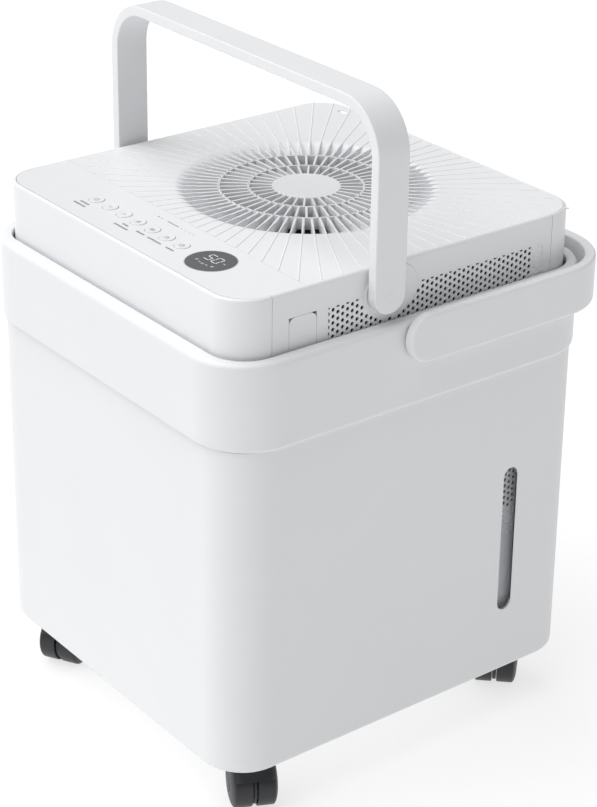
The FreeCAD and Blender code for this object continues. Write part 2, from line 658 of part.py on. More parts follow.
def make_carry_handle():
    """Flat strap bent to a bow, with rounded leg ends and stepped pivot bores."""
    body = new_body("CarryHandleBody")
    bow = sketch_on(body, "XZ", "-handle_y - handle_width / 2")
    inner_x = "handle_half_x - handle_thick"
    inner_top = "handle_top - handle_thick"
    inner_corner = "handle_corner - handle_thick"
    outline(bow, [("handle_half_x", "handle_foot", "0"), ("handle_half_x", "handle_top", "handle_corner"),
                  ("-handle_half_x", "handle_top", "handle_corner"), ("-handle_half_x", "handle_foot", "0"),
                  (f"-({inner_x})", "handle_foot", "0"), (f"-({inner_x})", inner_top, inner_corner),
                  (inner_x, inner_top, inner_corner), (inner_x, "handle_foot", "0")])
    pad(body, bow, "handle_width")
    foot = value("handle_foot")
    fillet(body, lambda box: at(box.ZMin, box.ZMax, foot) and box.YLength < 0.01, "handle_foot_round")
    for side in (-1, 1):
        bore = sketch_on(body, "YZ", f"{side} * ({inner_x})")
        circle(bore, "handle_y", "handle_z", "handle_pin + running_gap")
        pocket(body, bore, f"handle_pin_end + pin_clear - ({inner_x})", reverse=side > 0)
    screw_hole = sketch_on(body, "YZ")
    circle(screw_hole, "handle_y", "handle_z", "handle_screw + running_gap")
    pocket(body, screw_hole, None)
    node(body, "carry_handle")


def make_carry_handle_pins():
    """Shoulder pins of the carry handle, each with a nut inside and a small screw end."""
    pins = []
    for side in (-1, 1):
        way = X_AXIS * side
        root = "unit_half_x - casing_wall - handle_nut_thick"
        start = (f"{side} * ({root})", "handle_y", "handle_z")
        nut = rod("PinNut", start, "handle_nut", "handle_nut_thick", way)
        shoulder = rod("Shoulder", start, "handle_pin", f"handle_pin_end - ({root})", way)
        screw = rod("PinScrew", (f"{side} * handle_pin_end", "handle_y", "handle_z"), "handle_screw",
                    "handle_half_x - handle_pin_end", way)
        pins.append(fuse("HandlePin", [nut, shoulder, screw]))
    node(group("HandlePins", pins), "carry_handle_pins")


# ---- base, feet and float ------------------------------------------------------

def make_base_pan():
    """Tray that closes the unit below and carries the compressor."""
    body = new_body("BasePanBody")
    half_x = "unit_half_x - casing_wall - pan_gap"
    half_y = "unit_half_y - casing_wall - pan_gap"
    corner = "unit_corner - casing_wall - pan_gap"
    outer = sketch_on(body, "XY", "unit_bottom")
    rectangle(outer, half_x, half_y, corner)
    pad(body, outer, "pan_rim")
    inner = sketch_on(body, "XY", "unit_bottom + pan_floor")
    rectangle(inner, f"{half_x} - pan_floor", f"{half_y} - pan_floor", f"{corner} - pan_floor")
    pocket(body, inner, "pan_rim", reverse=True)
    hole = sketch_on(body, "XY", "unit_bottom")
    circle(hole, "float_x", "float_y", "float_radius + float_clear")
    pocket(body, hole, "pan_floor + cut_over", reverse=True)
    node(body, "base_pan")


def make_base_feet():
    feet = [rod("Foot", (f"{side_x} * foot_x", f"{side_y} * foot_y", "floor_thick"),
                "foot_tip", "unit_bottom - floor_thick", tip_radius="foot_radius")
            for side_x, side_y in CASTERS.values()]
    node(group("Feet", feet), "base_feet")


def make_float():
    """Float that rises with the water and lifts the switch's lever."""
    drum = rod("FloatDrum", ("float_x", "float_y", "float_low"), "float_radius", "float_high - float_low")
    stem = rod("FloatStem", ("float_x", "float_y", "float_high"), "float_stem",
               "float_stem_top - float_high")
    node(fuse("Float", [drum, stem]), "float")


def make_float_switch():
    """Switch housing on the front of the electrical box, with a guide eye for the stem."""
    low_z = "float_high + float_travel + float_clear"
    case_low = "float_stem_top + float_travel + float_clear"
    eye = rod("Eye", ("float_x", "float_y", low_z), "float_stem + eye_wall", "eye_high")
    arm = block("SwitchArm", ("float_x - arm_half", "box_back", low_z),
                ("float_x + arm_half", "float_y", f"{low_z} + eye_high"))
    case = block("SwitchCase", ("float_x - switch_case_half", "box_back", case_low),
                 ("float_x + switch_case_half", "float_y + switch_case_beyond",
                  f"{case_low} + switch_case_high"))
    wall = block("SwitchWall", ("float_x - arm_half", "box_back", low_z),
                 ("float_x + arm_half", "float_y - float_radius", f"{case_low} + switch_case_overlap"))
    solid = fuse("FloatSwitchSolid", [eye, arm, case, wall])
    bore = rod("EyeBore", ("float_x", "float_y", f"{low_z} - cut_over"), "float_stem + pin_clear",
               "eye_high + 2 * cut_over")
    node(cut("FloatSwitch", solid, [bore]), "float_switch")


# ---- fan -----------------------------------------------------------------------

def make_fan_wheel():
    """Hub with twisted flat blades that blow air up through the grille."""
    hub = rod("FanHub", ("fan_x", "fan_y", "fan_low"), "fan_hub", "fan_high - fan_low")
    pieces = [hub]
    middle = FreeCAD.Vector(value("fan_x"), value("fan_y"), value("(fan_low + fan_high) / 2"))
    root = value("fan_hub - blade_root")
    half_chord = value("blade_chord") / 2
    half_thick = value("blade_thick") / 2
    for index in range(int(value("blade_count"))):
        blade = doc.addObject("Part::Box", "Blade")
        bind(blade, "Length", "fan_tip - fan_hub + blade_root")
        bind(blade, "Width", "blade_chord")
        bind(blade, "Height", "blade_thick")
        turn = FreeCAD.Rotation(Z_AXIS, 360 * index / value("blade_count"))
        pitch = FreeCAD.Rotation(X_AXIS, value("blade_pitch"))
        rotation = turn.multiply(pitch)
        corner = rotation.multVec(FreeCAD.Vector(root, -half_chord, -half_thick))
        blade.Placement = FreeCAD.Placement(middle + corner, rotation)
        pieces.append(blade)
    bore = rod("FanBore", ("fan_x", "fan_y", "fan_low"), "shaft_radius + running_gap",
               "fan_high - fan_low - hub_cap")
    node(cut("FanWheel", fuse("FanSolid", pieces), [bore]), "fan_wheel")


def make_fan_motor():
    can = rod("MotorCan", ("fan_x", "fan_y", "motor_low"), "motor_radius", "motor_high - motor_low")
    shaft = rod("MotorShaft", ("fan_x", "fan_y", "motor_high"), "shaft_radius",
                "fan_high - shaft_short - motor_high")
    node(fuse("FanMotor", [can, shaft]), "fan_motor")


def make_fan_shroud():
    """Ring duct round the fan, with a four-armed spider that the motor hangs from."""
    outer = rod("ShroudOuter", ("fan_x", "fan_y", "shroud_low"), "shroud_inner + shroud_wall",
                "shroud_high - shroud_low")
    inner = rod("ShroudInner", ("fan_x", "fan_y", "shroud_low"), "shroud_inner",
                "shroud_high - shroud_low")
    ring = cut("ShroudRing", outer, [inner])
    reach = "shroud_inner + shroud_wall / 2"
    half = "spider_width / 2"
    low, high = "motor_high", "motor_high + spider_thick"
    along_x = block("SpiderX", (f"fan_x - ({reach})", f"fan_y - {half}", low),
                    (f"fan_x + {reach}", f"fan_y + {half}", high))
    along_y = block("SpiderY", (f"fan_x - {half}", f"fan_y - ({reach})", low),
                    (f"fan_x + {half}", f"fan_y + {reach}", high))
    cap = rod("SpiderCap", ("fan_x", "fan_y", low), "motor_radius", "spider_thick")
    bore = rod("SpiderBore", ("fan_x", "fan_y", f"{low} - cut_over"), "shaft_radius + spider_clear",
               "spider_thick + 2 * cut_over")
    node(cut("FanShroud", fuse("ShroudSolid", [ring, along_x, along_y, cap]), [bore]), "fan_shroud")


# ---- refrigerating circuit -----------------------------------------------------

def compressor_feet():
    """The evenly spaced places of the compressor's rubber mounts, as expressions."""
    count = int(value("foot_count"))
    places = []
    for index in range(count):
        angle = f"90 + 360 * {index} / foot_count"
        places.append((f"compressor_x + cos({angle}) * compressor_foot",
                       f"compressor_y + sin({angle}) * compressor_foot"))
    return places


def make_compressor():
    """Welded steel can with domed ends on a three-footed plate."""
    can = rod("Can", ("compressor_x", "compressor_y", "compressor_low + foot_plate"),
              "compressor_radius", "compressor_high - compressor_low - foot_plate")
    dome = rod("CanDome", ("compressor_x", "compressor_y", "compressor_high"), "compressor_radius",
               "dome_high", tip_radius="compressor_radius - 2 * dome_high")
    pieces = [can, dome]
    for x, y in compressor_feet():
        pieces.append(rod("FootEar", (x, y, "compressor_low"), "grommet_radius + ear_rim",
                          "foot_plate"))
    plate = rod("FootPlate", ("compressor_x", "compressor_y", "compressor_low"),
                "compressor_foot - plate_inset", "foot_plate")
    cavity_low = "compressor_low + foot_plate + compressor_wall"
    cavity = rod("CanCavity", ("compressor_x", "compressor_y", cavity_low),
                 "compressor_radius - compressor_wall",
                 f"compressor_high - compressor_wall - ({cavity_low})")
    outlet = rod("CanOutlet", ("compressor_x", "compressor_y", "compressor_high - 2 * compressor_wall"),
                 "tube_radius - tube_wall", "3 * dome_high")
    solid = fuse("CompressorSolid", pieces + [plate])
    node(cut("Compressor", solid, [cavity, outlet]), "compressor")


def make_grommets():
    low = "unit_bottom + pan_floor"
    mounts = [rod("Grommet", (x, y, low), "grommet_radius", f"compressor_low - ({low})")
              for x, y in compressor_feet()]
    node(group("Grommets", mounts), "compressor_grommets")


def make_coil(x, label):
    """A coil: end plates and spaced fins threaded on level tubes."""
    pieces = []
    fins = int(value("fin_count"))
    for index in range(fins + 1):
        thick = "coil_plate" if index in (0, fins) else "fin_thick"
        low = f"coil_front + {index} * (coil_back - coil_front - {thick}) / fin_count"
        pieces.append(block("Fin", (x, low, "coil_low"),
                            (f"{x} + coil_thick", f"{low} + {thick}", "coil_high")))
    rows = int(value("tube_rows"))
    for index in range(rows):
        height = f"coil_low + (coil_high - coil_low) * ({index} + 0.5) / tube_rows"
        pieces.append(rod("CoilTube", (f"{x} + coil_thick / 2", "coil_front", height),
                          "tube_radius", "coil_back - coil_front", Y_AXIS))
    node(fuse("Coil", pieces), label)


def make_drain_tray():
    """Open tray on four legs that catches the drip from both coils."""
    x_low, x_high = "condenser_x - tray_margin", "evaporator_x + coil_thick + tray_margin"
    y_low, y_high = "coil_front - tray_margin", "coil_back + tray_margin"
    tray = block("TrayOuter", (x_low, y_low, "tray_low"), (x_high, y_high, "tray_high"))
    space = block("TrayInner",
                  (f"{x_low} + tray_wall", f"{y_low} + tray_wall", "tray_low + tray_wall"),
                  (f"{x_high} - tray_wall", f"{y_high} - tray_wall", "tray_high + cut_over"))
    pieces = [cut("Basin", tray, [space])]
    for x in (x_low, f"{x_high} - leg_width"):
        for y in (y_low, f"{y_high} - leg_width"):
            pieces.append(block("TrayLeg", (x, y, "unit_bottom + pan_floor"),
                                (f"{x} + leg_width", f"{y} + leg_width", "tray_low + tray_wall")))
    for y in ("coil_front + coil_plate", "coil_back - coil_plate - leg_width"):
        pieces.append(block("CoilRest", ("condenser_x", y, "tray_low + tray_wall / 2"),
                            ("evaporator_x + coil_thick", f"{y} + leg_width", "coil_low")))
    node(fuse("DrainTray", pieces), "drain_tray")


def bent_tube(name, points, radius, bend):
    """A round tube through points, its corners turned in arcs of one radius."""
    edges = []
    start = points[0]
    for before, corner, after in zip(points, points[1:], points[2:]):
        way_in = (corner - before).normalize()
        way_out = (after - corner).normalize()
        half_turn = way_in.getAngle(way_out) / 2
        setback = bend * math.tan(half_turn)
        arrive = corner - way_in * setback
        leave = corner + way_out * setback
        inward = (way_out - way_in).normalize()
        middle = corner + inward * (bend / math.cos(half_turn) - bend)
        edges.append(Part.LineSegment(start, arrive).toShape())
        edges.append(Part.Arc(arrive, middle, leave).toShape())
        start = leave
    edges.append(Part.LineSegment(start, points[-1]).toShape())
    path = Part.Wire(edges)
    section = Part.Wire([Part.Circle(points[0], points[1] - points[0], radius).toShape()])
    item = doc.addObject("Part::Feature", name)
    item.Shape = path.makePipeShell([section], True, False)
    return item


def spot(*expressions):
    return FreeCAD.Vector(*[value(expression) for expression in expressions])


def make_refrigerant_lines():
    """Discharge line to the condenser and suction line back from the evaporator."""
    radius = value("tube_radius")
    top = "compressor_high + dome_high"
    high = f"{top} + discharge_rise"
    discharge = [spot("compressor_x", "compressor_y", top), spot("compressor_x", "compressor_y", high),
                 spot("condenser_x", "compressor_y", high)]
    behind = "coil_back + suction_behind"
    middle = "evaporator_x + coil_thick / 2"
    level = "coil_low + suction_rise"
    suction = [spot(middle, "coil_back", level), spot(middle, behind, level),
               spot("compressor_x", behind, level),
               spot("compressor_x", "compressor_y + compressor_radius", level)]
    lines = [bent_tube("Discharge", discharge, radius, value("tube_bend")),
             bent_tube("Suction", suction, radius, value("suction_bend"))]
    node(group("Lines", lines), "refrigerant_lines")


# ---- condensate pump and drain -------------------------------------------------

def make_drain_pump():
    low = "unit_bottom + pan_floor"
    case_high = "pump_high - pump_motor_high"
    case = rod("PumpCase", ("pump_x", "pump_y", low), "pump_radius", f"{case_high} - ({low})")
    motor = rod("PumpMotor", ("pump_x", "pump_y", case_high), "pump_motor_radius", "pump_motor_high")
    node(fuse("DrainPump", [case, motor]), "drain_pump")


def make_drain_hose():
    """Riser from the pump to the hose spigot behind the small side cover."""
    points = [spot("pump_x", "pump_y", "pump_high"), spot("pump_x", "pump_y", "port_z"),
              spot("unit_half_x - casing_wall - hose_gap", "pump_y", "port_z")]
    riser = bent_tube("Riser", points, value("tube_radius"), value("tube_bend"))
    node(group("Hose", [riser]), "drain_hose")


def make_drain_port_cover():
    body = new_body("DrainPortCoverBody")
    face = sketch_on(body, "YZ", "unit_half_x")
    outline(face, [("port_low_y", "port_low", "0"), ("port_high_y", "port_low", "0"),
                   ("port_high_y", "port_high", "port_round"), ("port_low_y", "port_high", "port_round")])
    pad(body, face, "casing_wall", reverse=True)
    node(body, "drain_port_cover")


# ---- filters and electrical parts ----------------------------------------------

def make_filters():
    """Flat washable filters behind the perforated side panels."""
    for side, label in ((-1, "air_filter_left"), (1, "air_filter_right")):
        near, far = "filter_x", "filter_x + filter_thick"
        x_low, x_high = (near, far) if side > 0 else (f"-({far})", f"-{near}")
        sheet_box = block("Filter", (x_low, "filter_front", "filter_low"),
                          (x_high, "filter_back", "filter_high"))
        node(group("FilterGroup", [sheet_box]), label)


def make_electronics_box():
    """Open-topped box behind the front wall that holds the main board."""
    outer = block("BoxOuter", ("-box_half_x", "box_front", "box_low"),
                  ("box_half_x", "box_back", "box_high"))
    inner = block("BoxInner", ("-box_half_x + box_wall", "box_front + box_wall", "box_low + box_wall"),
                  ("box_half_x - box_wall", "box_back - box_wall", "box_high + cut_over"))
    pieces = [cut("BoxShell", outer, [inner])]
    leg_front = "box_front + box_leg_inset"
    for x in ("-box_half_x", "box_half_x - box_leg"):
        pieces.append(block("BoxLeg", (x, leg_front, "unit_bottom + pan_floor"),
                            (f"{x} + box_leg", f"{leg_front} + box_leg", "box_low + box_wall / 2")))
    node(fuse("ElectronicsBox", pieces), "electronics_box")


def make_main_board():
    middle = "(box_front + box_back) / 2"
    board = block("MainBoardSheet", ("-box_half_x + board_side", middle, "box_low + box_wall"),
                  ("box_half_x - board_side", f"{middle} + board_thick",
                   "box_high - board_below_top"))
    relay = block("Relay", ("relay_low_x", f"{middle} - relay_deep", "relay_low"),
                  ("relay_high_x", middle, "relay_high"))
    sink = block("HeatSink", ("sink_low_x", f"{middle} - sink_deep", "sink_low"),
                 ("sink_high_x", middle, "sink_high"))
    node(fuse("MainBoard", [board, relay, sink]), "main_board")


def make_run_capacitor():
    can = rod("CapacitorCan", ("capacitor_x", "capacitor_y", "unit_bottom + pan_floor"),
              "capacitor_radius", "capacitor_high - unit_bottom - pan_floor")
    node(group("CapacitorGroup", [can]), "run_capacitor")


def make_cord_gland():
    """Rubber gland in the rear wall where the mains lead enters."""
    collar = rod("GlandCollar", ("gland_x", "unit_half_y", "gland_z"), "gland_radius",
                 "gland_proud", Y_AXIS, tip_radius="gland_tip")
    neck = rod("GlandNeck", ("gland_x", "unit_half_y - casing_wall - gland_inside", "gland_z"),
               "gland_neck - running_gap", "casing_wall + gland_inside", Y_AXIS)
    hole = rod("GlandHole", ("gland_x", "unit_half_y - 2 * cut_over", "gland_z"), "gland_bore",
               "4 * cut_over", Y_AXIS)
    node(cut("Gland", fuse("GlandSolid", [collar, neck]), [hole]), "cord_gland")


def make_shell_screws():
    screws = []
    for side in (-1, 1):
        for height in ("screw_low", "screw_high"):
            x = f"{side} * screw_x"
            seat = "unit_half_y - screw_sunk"
            head = rod("ScrewHead", (x, seat, height), "screw_head", "screw_head_thick", Y_AXIS)
            shank = rod("ScrewShank", (x, f"{seat} - screw_length", height), "screw_shank",
                        "screw_length", Y_AXIS)
            screws.append(fuse("Screw", [head, shank]))
    node(group("Screws", screws), "shell_screws")


# ---- build, test and write -------------------------------------------------------

def build():
    make_bucket()
    make_bucket_window()
    make_bail_pins()
    make_bucket_handle()
    make_caster_sockets()
    make_casters()
    make_front_shell()
    make_rear_shell()
    make_side_panel(-1, "side_panel_left")
    make_side_panel(1, "side_panel_right")
    make_top_cover()
    make_buttons()
    make_control_board()
    make_display_lens()
    make_carry_handle()
    make_carry_handle_pins()
    make_base_pan()
    make_base_feet()
    make_float()
    make_float_switch()
    make_fan_wheel()
    make_fan_motor()
    make_fan_shroud()
    make_compressor()
    make_grommets()
    make_coil("evaporator_x", "evaporator")
    make_coil("condenser_x", "condenser")
    make_drain_tray()
    make_refrigerant_lines()
    make_drain_pump()
    make_drain_hose()
    make_drain_port_cover()
    make_filters()
    make_electronics_box()
    make_main_board()
    make_run_capacitor()
    make_cord_gland()
    make_shell_screws()
    doc.recompute()


def check():
    """Stop if any object failed or any sub-part is not a sound solid."""
    for item in doc.Objects:
        if {"Invalid", "Error"} & set(item.State):
            raise RuntimeError(f"{item.Name} ({item.Label}) failed: {item.State}")
    for item in NODES:
        if item.Shape.isNull() or not item.Shape.isValid() or not item.Shape.Solids:
            raise RuntimeError(f"{item.Label} is not a sound solid")


def write():
    os.makedirs("parts", exist_ok=True)
    for item in NODES:
        item.Shape.exportStep(f"parts/{item.Label}.step")
    print(len(NODES), "sub-parts written")


build()
check()
write()
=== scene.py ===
import json
import math

import bmesh
import bpy
from mathutils import Matrix, Vector
from mathutils.geometry import tessellate_polygon


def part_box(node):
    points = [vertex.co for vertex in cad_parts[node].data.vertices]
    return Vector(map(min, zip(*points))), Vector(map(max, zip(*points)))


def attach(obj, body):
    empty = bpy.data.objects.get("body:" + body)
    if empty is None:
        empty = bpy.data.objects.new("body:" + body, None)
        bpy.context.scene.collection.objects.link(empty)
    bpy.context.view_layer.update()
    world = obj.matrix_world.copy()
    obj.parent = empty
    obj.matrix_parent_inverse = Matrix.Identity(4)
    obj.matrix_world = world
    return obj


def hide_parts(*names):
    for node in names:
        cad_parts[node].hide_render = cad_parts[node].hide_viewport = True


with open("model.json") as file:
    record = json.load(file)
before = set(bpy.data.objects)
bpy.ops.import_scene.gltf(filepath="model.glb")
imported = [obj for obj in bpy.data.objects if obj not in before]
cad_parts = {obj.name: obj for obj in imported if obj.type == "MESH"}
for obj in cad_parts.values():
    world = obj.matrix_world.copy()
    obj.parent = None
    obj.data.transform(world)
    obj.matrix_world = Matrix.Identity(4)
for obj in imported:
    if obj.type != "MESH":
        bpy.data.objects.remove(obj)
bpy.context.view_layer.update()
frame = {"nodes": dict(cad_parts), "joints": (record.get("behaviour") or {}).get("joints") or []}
joints = {joint["name"]: joint for joint in frame["joints"]}


# ---------------------------------------------------------------------------
# Bucket. The outer vessel holds the water and carries the whole machine. It is
# one injection moulding in cool white polypropylene: straight walls, a thicker
# collar round the top and a thick rolled rim, with a slot for the sight window.
# ---------------------------------------------------------------------------

def socket(tree, name, kind, value=None, output=False):
    """Adds one named socket to a node group, with its starting value."""
    made = tree.interface.new_socket(name, in_out="OUTPUT" if output else "INPUT", socket_type=kind)
    if value is not None:
        made.default_value = value
    return made


def moulded_grain_group():
    """Fine spark-eroded mould texture: a normal and a gloss that varies a little."""
    tree = bpy.data.node_groups.new("moulded_grain", "ShaderNodeTree")
    socket(tree, "Grain Size", "NodeSocketFloat", 0.0006)
    socket(tree, "Depth", "NodeSocketFloat", 0.1)
    socket(tree, "Roughness", "NodeSocketFloat", 0.45)
    socket(tree, "Normal", "NodeSocketVector", output=True)
    socket(tree, "Roughness", "NodeSocketFloat", output=True)
    socket(tree, "Cloud", "NodeSocketFloat", output=True)
    n, link = tree.nodes, tree.links
    start, end = n.new("NodeGroupInput"), n.new("NodeGroupOutput")
    where = n.new("ShaderNodeTexCoord")
    scale = n.new("ShaderNodeMath")
    scale.operation = "DIVIDE"
    scale.inputs[0].default_value = 1.0
    link.new(start.outputs["Grain Size"], scale.inputs[1])
    grain = n.new("ShaderNodeTexNoise")
    grain.inputs["Detail"].default_value = 2.0
    link.new(where.outputs["Object"], grain.inputs["Vector"])
    link.new(scale.outputs[0], grain.inputs["Scale"])
    bump = n.new("ShaderNodeBump")
    bump.inputs["Distance"].default_value = 0.0002
    link.new(start.outputs["Depth"], bump.inputs["Strength"])
    link.new(grain.outputs["Fac"], bump.inputs["Height"])
    cloud = n.new("ShaderNodeTexNoise")
    cloud.inputs["Scale"].default_value = 14.0
    cloud.inputs["Detail"].default_value = 3.0
    link.new(where.outputs["Object"], cloud.inputs["Vector"])
    spread = n.new("ShaderNodeMapRange")
    spread.inputs["To Min"].default_value = -0.05
    spread.inputs["To Max"].default_value = 0.05
    link.new(cloud.outputs["Fac"], spread.inputs["Value"])
    total = n.new("ShaderNodeMath")
    total.operation = "ADD"
    link.new(start.outputs["Roughness"], total.inputs[0])
    link.new(spread.outputs["Result"], total.inputs[1])
    link.new(bump.outputs["Normal"], end.inputs["Normal"])
    link.new(total.outputs[0], end.inputs["Roughness"])
    link.new(cloud.outputs["Fac"], end.inputs["Cloud"])
    return tree


moulded_grain = moulded_grain_group()


def moulded_plastic(name, colour, roughness, grain_size=0.0006, depth=0.1, tint=0.02, sheen=0.0):
    """A moulded plastic: its colour drifts a little and its gloss is broken by mould grain."""
    made = bpy.data.materials.new(name)
    made.use_nodes = True
    n, link = made.node_tree.nodes, made.node_tree.links
    shader = n["Principled BSDF"]
    grain = n.new("ShaderNodeGroup")
    grain.node_tree = moulded_grain
    grain.inputs["Grain Size"].default_value = grain_size
    grain.inputs["Depth"].default_value = depth
    grain.inputs["Roughness"].default_value = roughness
    mix = n.new("ShaderNodeMix")
    mix.data_type = "RGBA"
    mix.inputs["A"].default_value = (*[c * (1 - tint) for c in colour], 1)
    mix.inputs["B"].default_value = (*[min(1.0, c * (1 + tint)) for c in colour], 1)
    link.new(grain.outputs["Cloud"], mix.inputs["Factor"])
    link.new(mix.outputs["Result"], shader.inputs["Base Color"])
    link.new(grain.outputs["Roughness"], shader.inputs["Roughness"])
    link.new(grain.outputs["Normal"], shader.inputs["Normal"])
    if sheen:
        shader.inputs["Coat Weight"].default_value = sheen
        shader.inputs["Coat Roughness"].default_value = 0.12
    return made


def rounded_rectangle(half_x, half_y, radius, height, middle=(0.0, 0.0), steps=12):
    """Loop of points round a rectangle with round corners, level at one height."""
    loop = []
    for corner, (sign_x, sign_y) in enumerate(((1, -1), (1, 1), (-1, 1), (-1, -1))):
        centre_x = middle[0] + sign_x * (half_x - radius)
        centre_y = middle[1] + sign_y * (half_y - radius)
        for step in range(steps + 1):
            turn = math.radians(-90 + 90 * corner + 90 * step / steps)
            loop.append((centre_x + radius * math.cos(turn), centre_y + radius * math.sin(turn), height))
    return loop


def lofted(loops, first_cap=True, last_cap=True, skip=()):
    """Points and faces of a skin through equal loops. Faces in skip, (loop, side), are left open."""
    count = len(loops[0])
    points = [p for loop in loops for p in loop]
    faces = []
    for row in range(len(loops) - 1):
        for side in range(count):
            if (row, side) not in skip:
                after = (side + 1) % count
                faces.append((row * count + side, row * count + after,
                              (row + 1) * count + after, (row + 1) * count + side))
    if first_cap:
        faces.append(tuple(reversed(range(count))))
    if last_cap:
        faces.append(tuple(range((len(loops) - 1) * count, len(loops) * count)))
    return points, faces


def flat_sheet(loops, facing):
    """Triangles that fill the first loop less the holes that the others make, facing one way."""
    points = [Vector(p) for loop in loops for p in loop]
    faces = []
    for a, b, c in tessellate_polygon([[Vector(p) for p in loop] for loop in loops]):
        normal = (points[b] - points[a]).cross(points[c] - points[a])
        if normal.length > 1e-14:
            faces.append((a, b, c) if normal.dot(Vector(facing)) > 0 else (a, c, b))
    return [tuple(p) for p in points], faces


def joined(*skins):
    """Several (points, faces) as one."""
    points, faces = [], []
    for more_points, more_faces in skins:
        start = len(points)
        points.extend(more_points)
        faces.extend(tuple(i + start for i in face) for face in more_faces)
    return points, faces


def moulding(name, skin, material, crease=32.0, weld=2e-6):
    """A mesh piece from points and faces: doubles welded, curved faces smooth and flats kept flat."""
    mesh = bpy.data.meshes.new(name)
    mesh.from_pydata([tuple(p) for p in skin[0]], [], skin[1])
    work = bmesh.new()
    work.from_mesh(mesh)
    bmesh.ops.remove_doubles(work, verts=work.verts, dist=weld)
    work.to_mesh(mesh)
    work.free()
    mesh.materials.append(material)
    return smoothed(bpy.data.objects.new(name, mesh), crease)


def smoothed(item, crease):
    """The piece with smooth curved faces, creases kept and normals weighted by face area."""
    item.data.shade_smooth()
    item.data.set_sharp_from_angle(angle=math.radians(crease))
    if item.name not in bpy.context.scene.collection.objects:
        bpy.context.scene.collection.objects.link(item)
    weighted = item.modifiers.new("weighted", "WEIGHTED_NORMAL")
    weighted.keep_sharp = True
    weighted.weight = 100
    return applied(item)


def applied(item):
    """The piece with its modifiers' result as its plain mesh, and no modifiers."""
    view = bpy.context.evaluated_depsgraph_get()
    view.update()
    mesh = bpy.data.meshes.new_from_object(item.evaluated_get(view), depsgraph=view)
    item.modifiers.clear()
    item.data = mesh
    mesh.name = item.name
    return item


def fitted(item, body, slot, *nodes):
    """The piece rides on its body and stands for the CAD nodes, which it hides. The slot is not used."""
    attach(item, body)
    if nodes:
        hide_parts(*nodes)
    return item


bucket_white = moulded_plastic("bucket_white", (0.79, 0.80, 0.815), 0.40, depth=0.06)
bucket_low, bucket_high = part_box("bucket")
middle_x = (bucket_low.x + bucket_high.x) / 2
middle_y = (bucket_low.y + bucket_high.y) / 2
middle = (middle_x, middle_y)
collar_half_x = (bucket_high.x - bucket_low.x) / 2
collar_half_y = (bucket_high.y - bucket_low.y) / 2
collar_corner = 0.0497
collar_step = 0.0049
wall = 0.003
edge_round = 0.004
rim_round = 0.0045
body_half_x = collar_half_x - collar_step
body_half_y = collar_half_y - 0.005
body_corner = 0.0387
collar_underside = bucket_low.z + 0.2867
floor_top = bucket_low.z + 0.004
floor_round = 0.006
mouth_inset = 0.0118
mouth_corner = 0.031
lip_thick = 0.005


def bucket_ring(half_x, half_y, corner, height, inset=0.0):
    return rounded_rectangle(half_x - inset, half_y - inset, corner - inset, height, middle)


def quarter(count, start, end):
    """Angles, in radians, across one rounded edge."""
    return [math.radians(start + (end - start) * step / count) for step in range(count + 1)]


bucket_rings = []
for turn in quarter(5, -90, 0):
    bucket_rings.append(bucket_ring(body_half_x, body_half_y, body_corner,
                                    bucket_low.z + edge_round * (1 + math.sin(turn)),
                                    edge_round * (1 - math.cos(turn))))
outer_wall_row = len(bucket_rings) - 1
bucket_rings.append(bucket_ring(body_half_x, body_half_y, body_corner, collar_underside))
for turn in quarter(5, -90, 0):
    bucket_rings.append(bucket_ring(collar_half_x, collar_half_y, collar_corner,
                                    collar_underside + edge_round * (1 + math.sin(turn)),
                                    edge_round * (1 - math.cos(turn))))
for turn in quarter(6, 0, 90):
    bucket_rings.append(bucket_ring(collar_half_x, collar_half_y, collar_corner,
                                    bucket_high.z - rim_round * (1 - math.sin(turn)),
                                    rim_round * (1 - math.cos(turn))))
mouth_x, mouth_y = collar_half_x - mouth_inset, collar_half_y - mouth_inset - 0.0005
for turn in quarter(4, 90, 0):
    bucket_rings.append(bucket_ring(mouth_x, mouth_y, mouth_corner,
                                    bucket_high.z - 0.0015 * (1 - math.sin(turn)),
                                    -0.0015 * (1 - math.cos(turn))))
bucket_rings.append(bucket_ring(mouth_x, mouth_y, mouth_corner, bucket_high.z - lip_thick))
inner_x, inner_y, inner_corner = body_half_x - wall, body_half_y - wall, body_corner - wall
inner_wall_row = len(bucket_rings)
bucket_rings.append(bucket_ring(inner_x, inner_y, inner_corner, bucket_high.z - lip_thick))
for turn in quarter(5, 0, 90):
    bucket_rings.append(bucket_ring(inner_x, inner_y, inner_corner,
                                    floor_top + floor_round * (1 - math.sin(turn)),
                                    floor_round * (1 - math.cos(turn))))

facing_x = 12
window_low, window_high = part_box("bucket_window")
window_y = (window_low.y + window_high.y) / 2
window_half = (window_high.y - window_low.y) / 2
window_edge = 0.0006


def window_ring(depth, grow=0.0, steps=10):
    """Loop round the sight window's slot, at a depth below the outer face."""
    loop = []
    for end, start in ((window_low.z + window_half, 180), (window_high.z - window_half, 0)):
        for step in range(steps + 1):
            turn = math.radians(start + 180 * step / steps)
            loop.append((body_half_x + middle_x - depth, window_y + (window_half + grow) * math.cos(turn),
                         end + (window_half + grow) * math.sin(turn)))
    return loop


def wall_panel(row, depth, facing):
    """The flat +X wall between two rings, with the window's slot left out."""
    low, high = bucket_rings[row], bucket_rings[row + 1]
    corners = [low[facing_x], low[facing_x + 1], high[facing_x + 1], high[facing_x]]
    return flat_sheet([corners, window_ring(depth, window_edge if depth == 0 else 0.0)], facing)


def hole_ring(centre, radius, height, steps=24):
    """Level circle of points."""
    turns = [2 * math.pi * step / steps for step in range(steps)]
    return [(centre[0] + radius * math.cos(t), centre[1] + radius * math.sin(t), height) for t in turns]


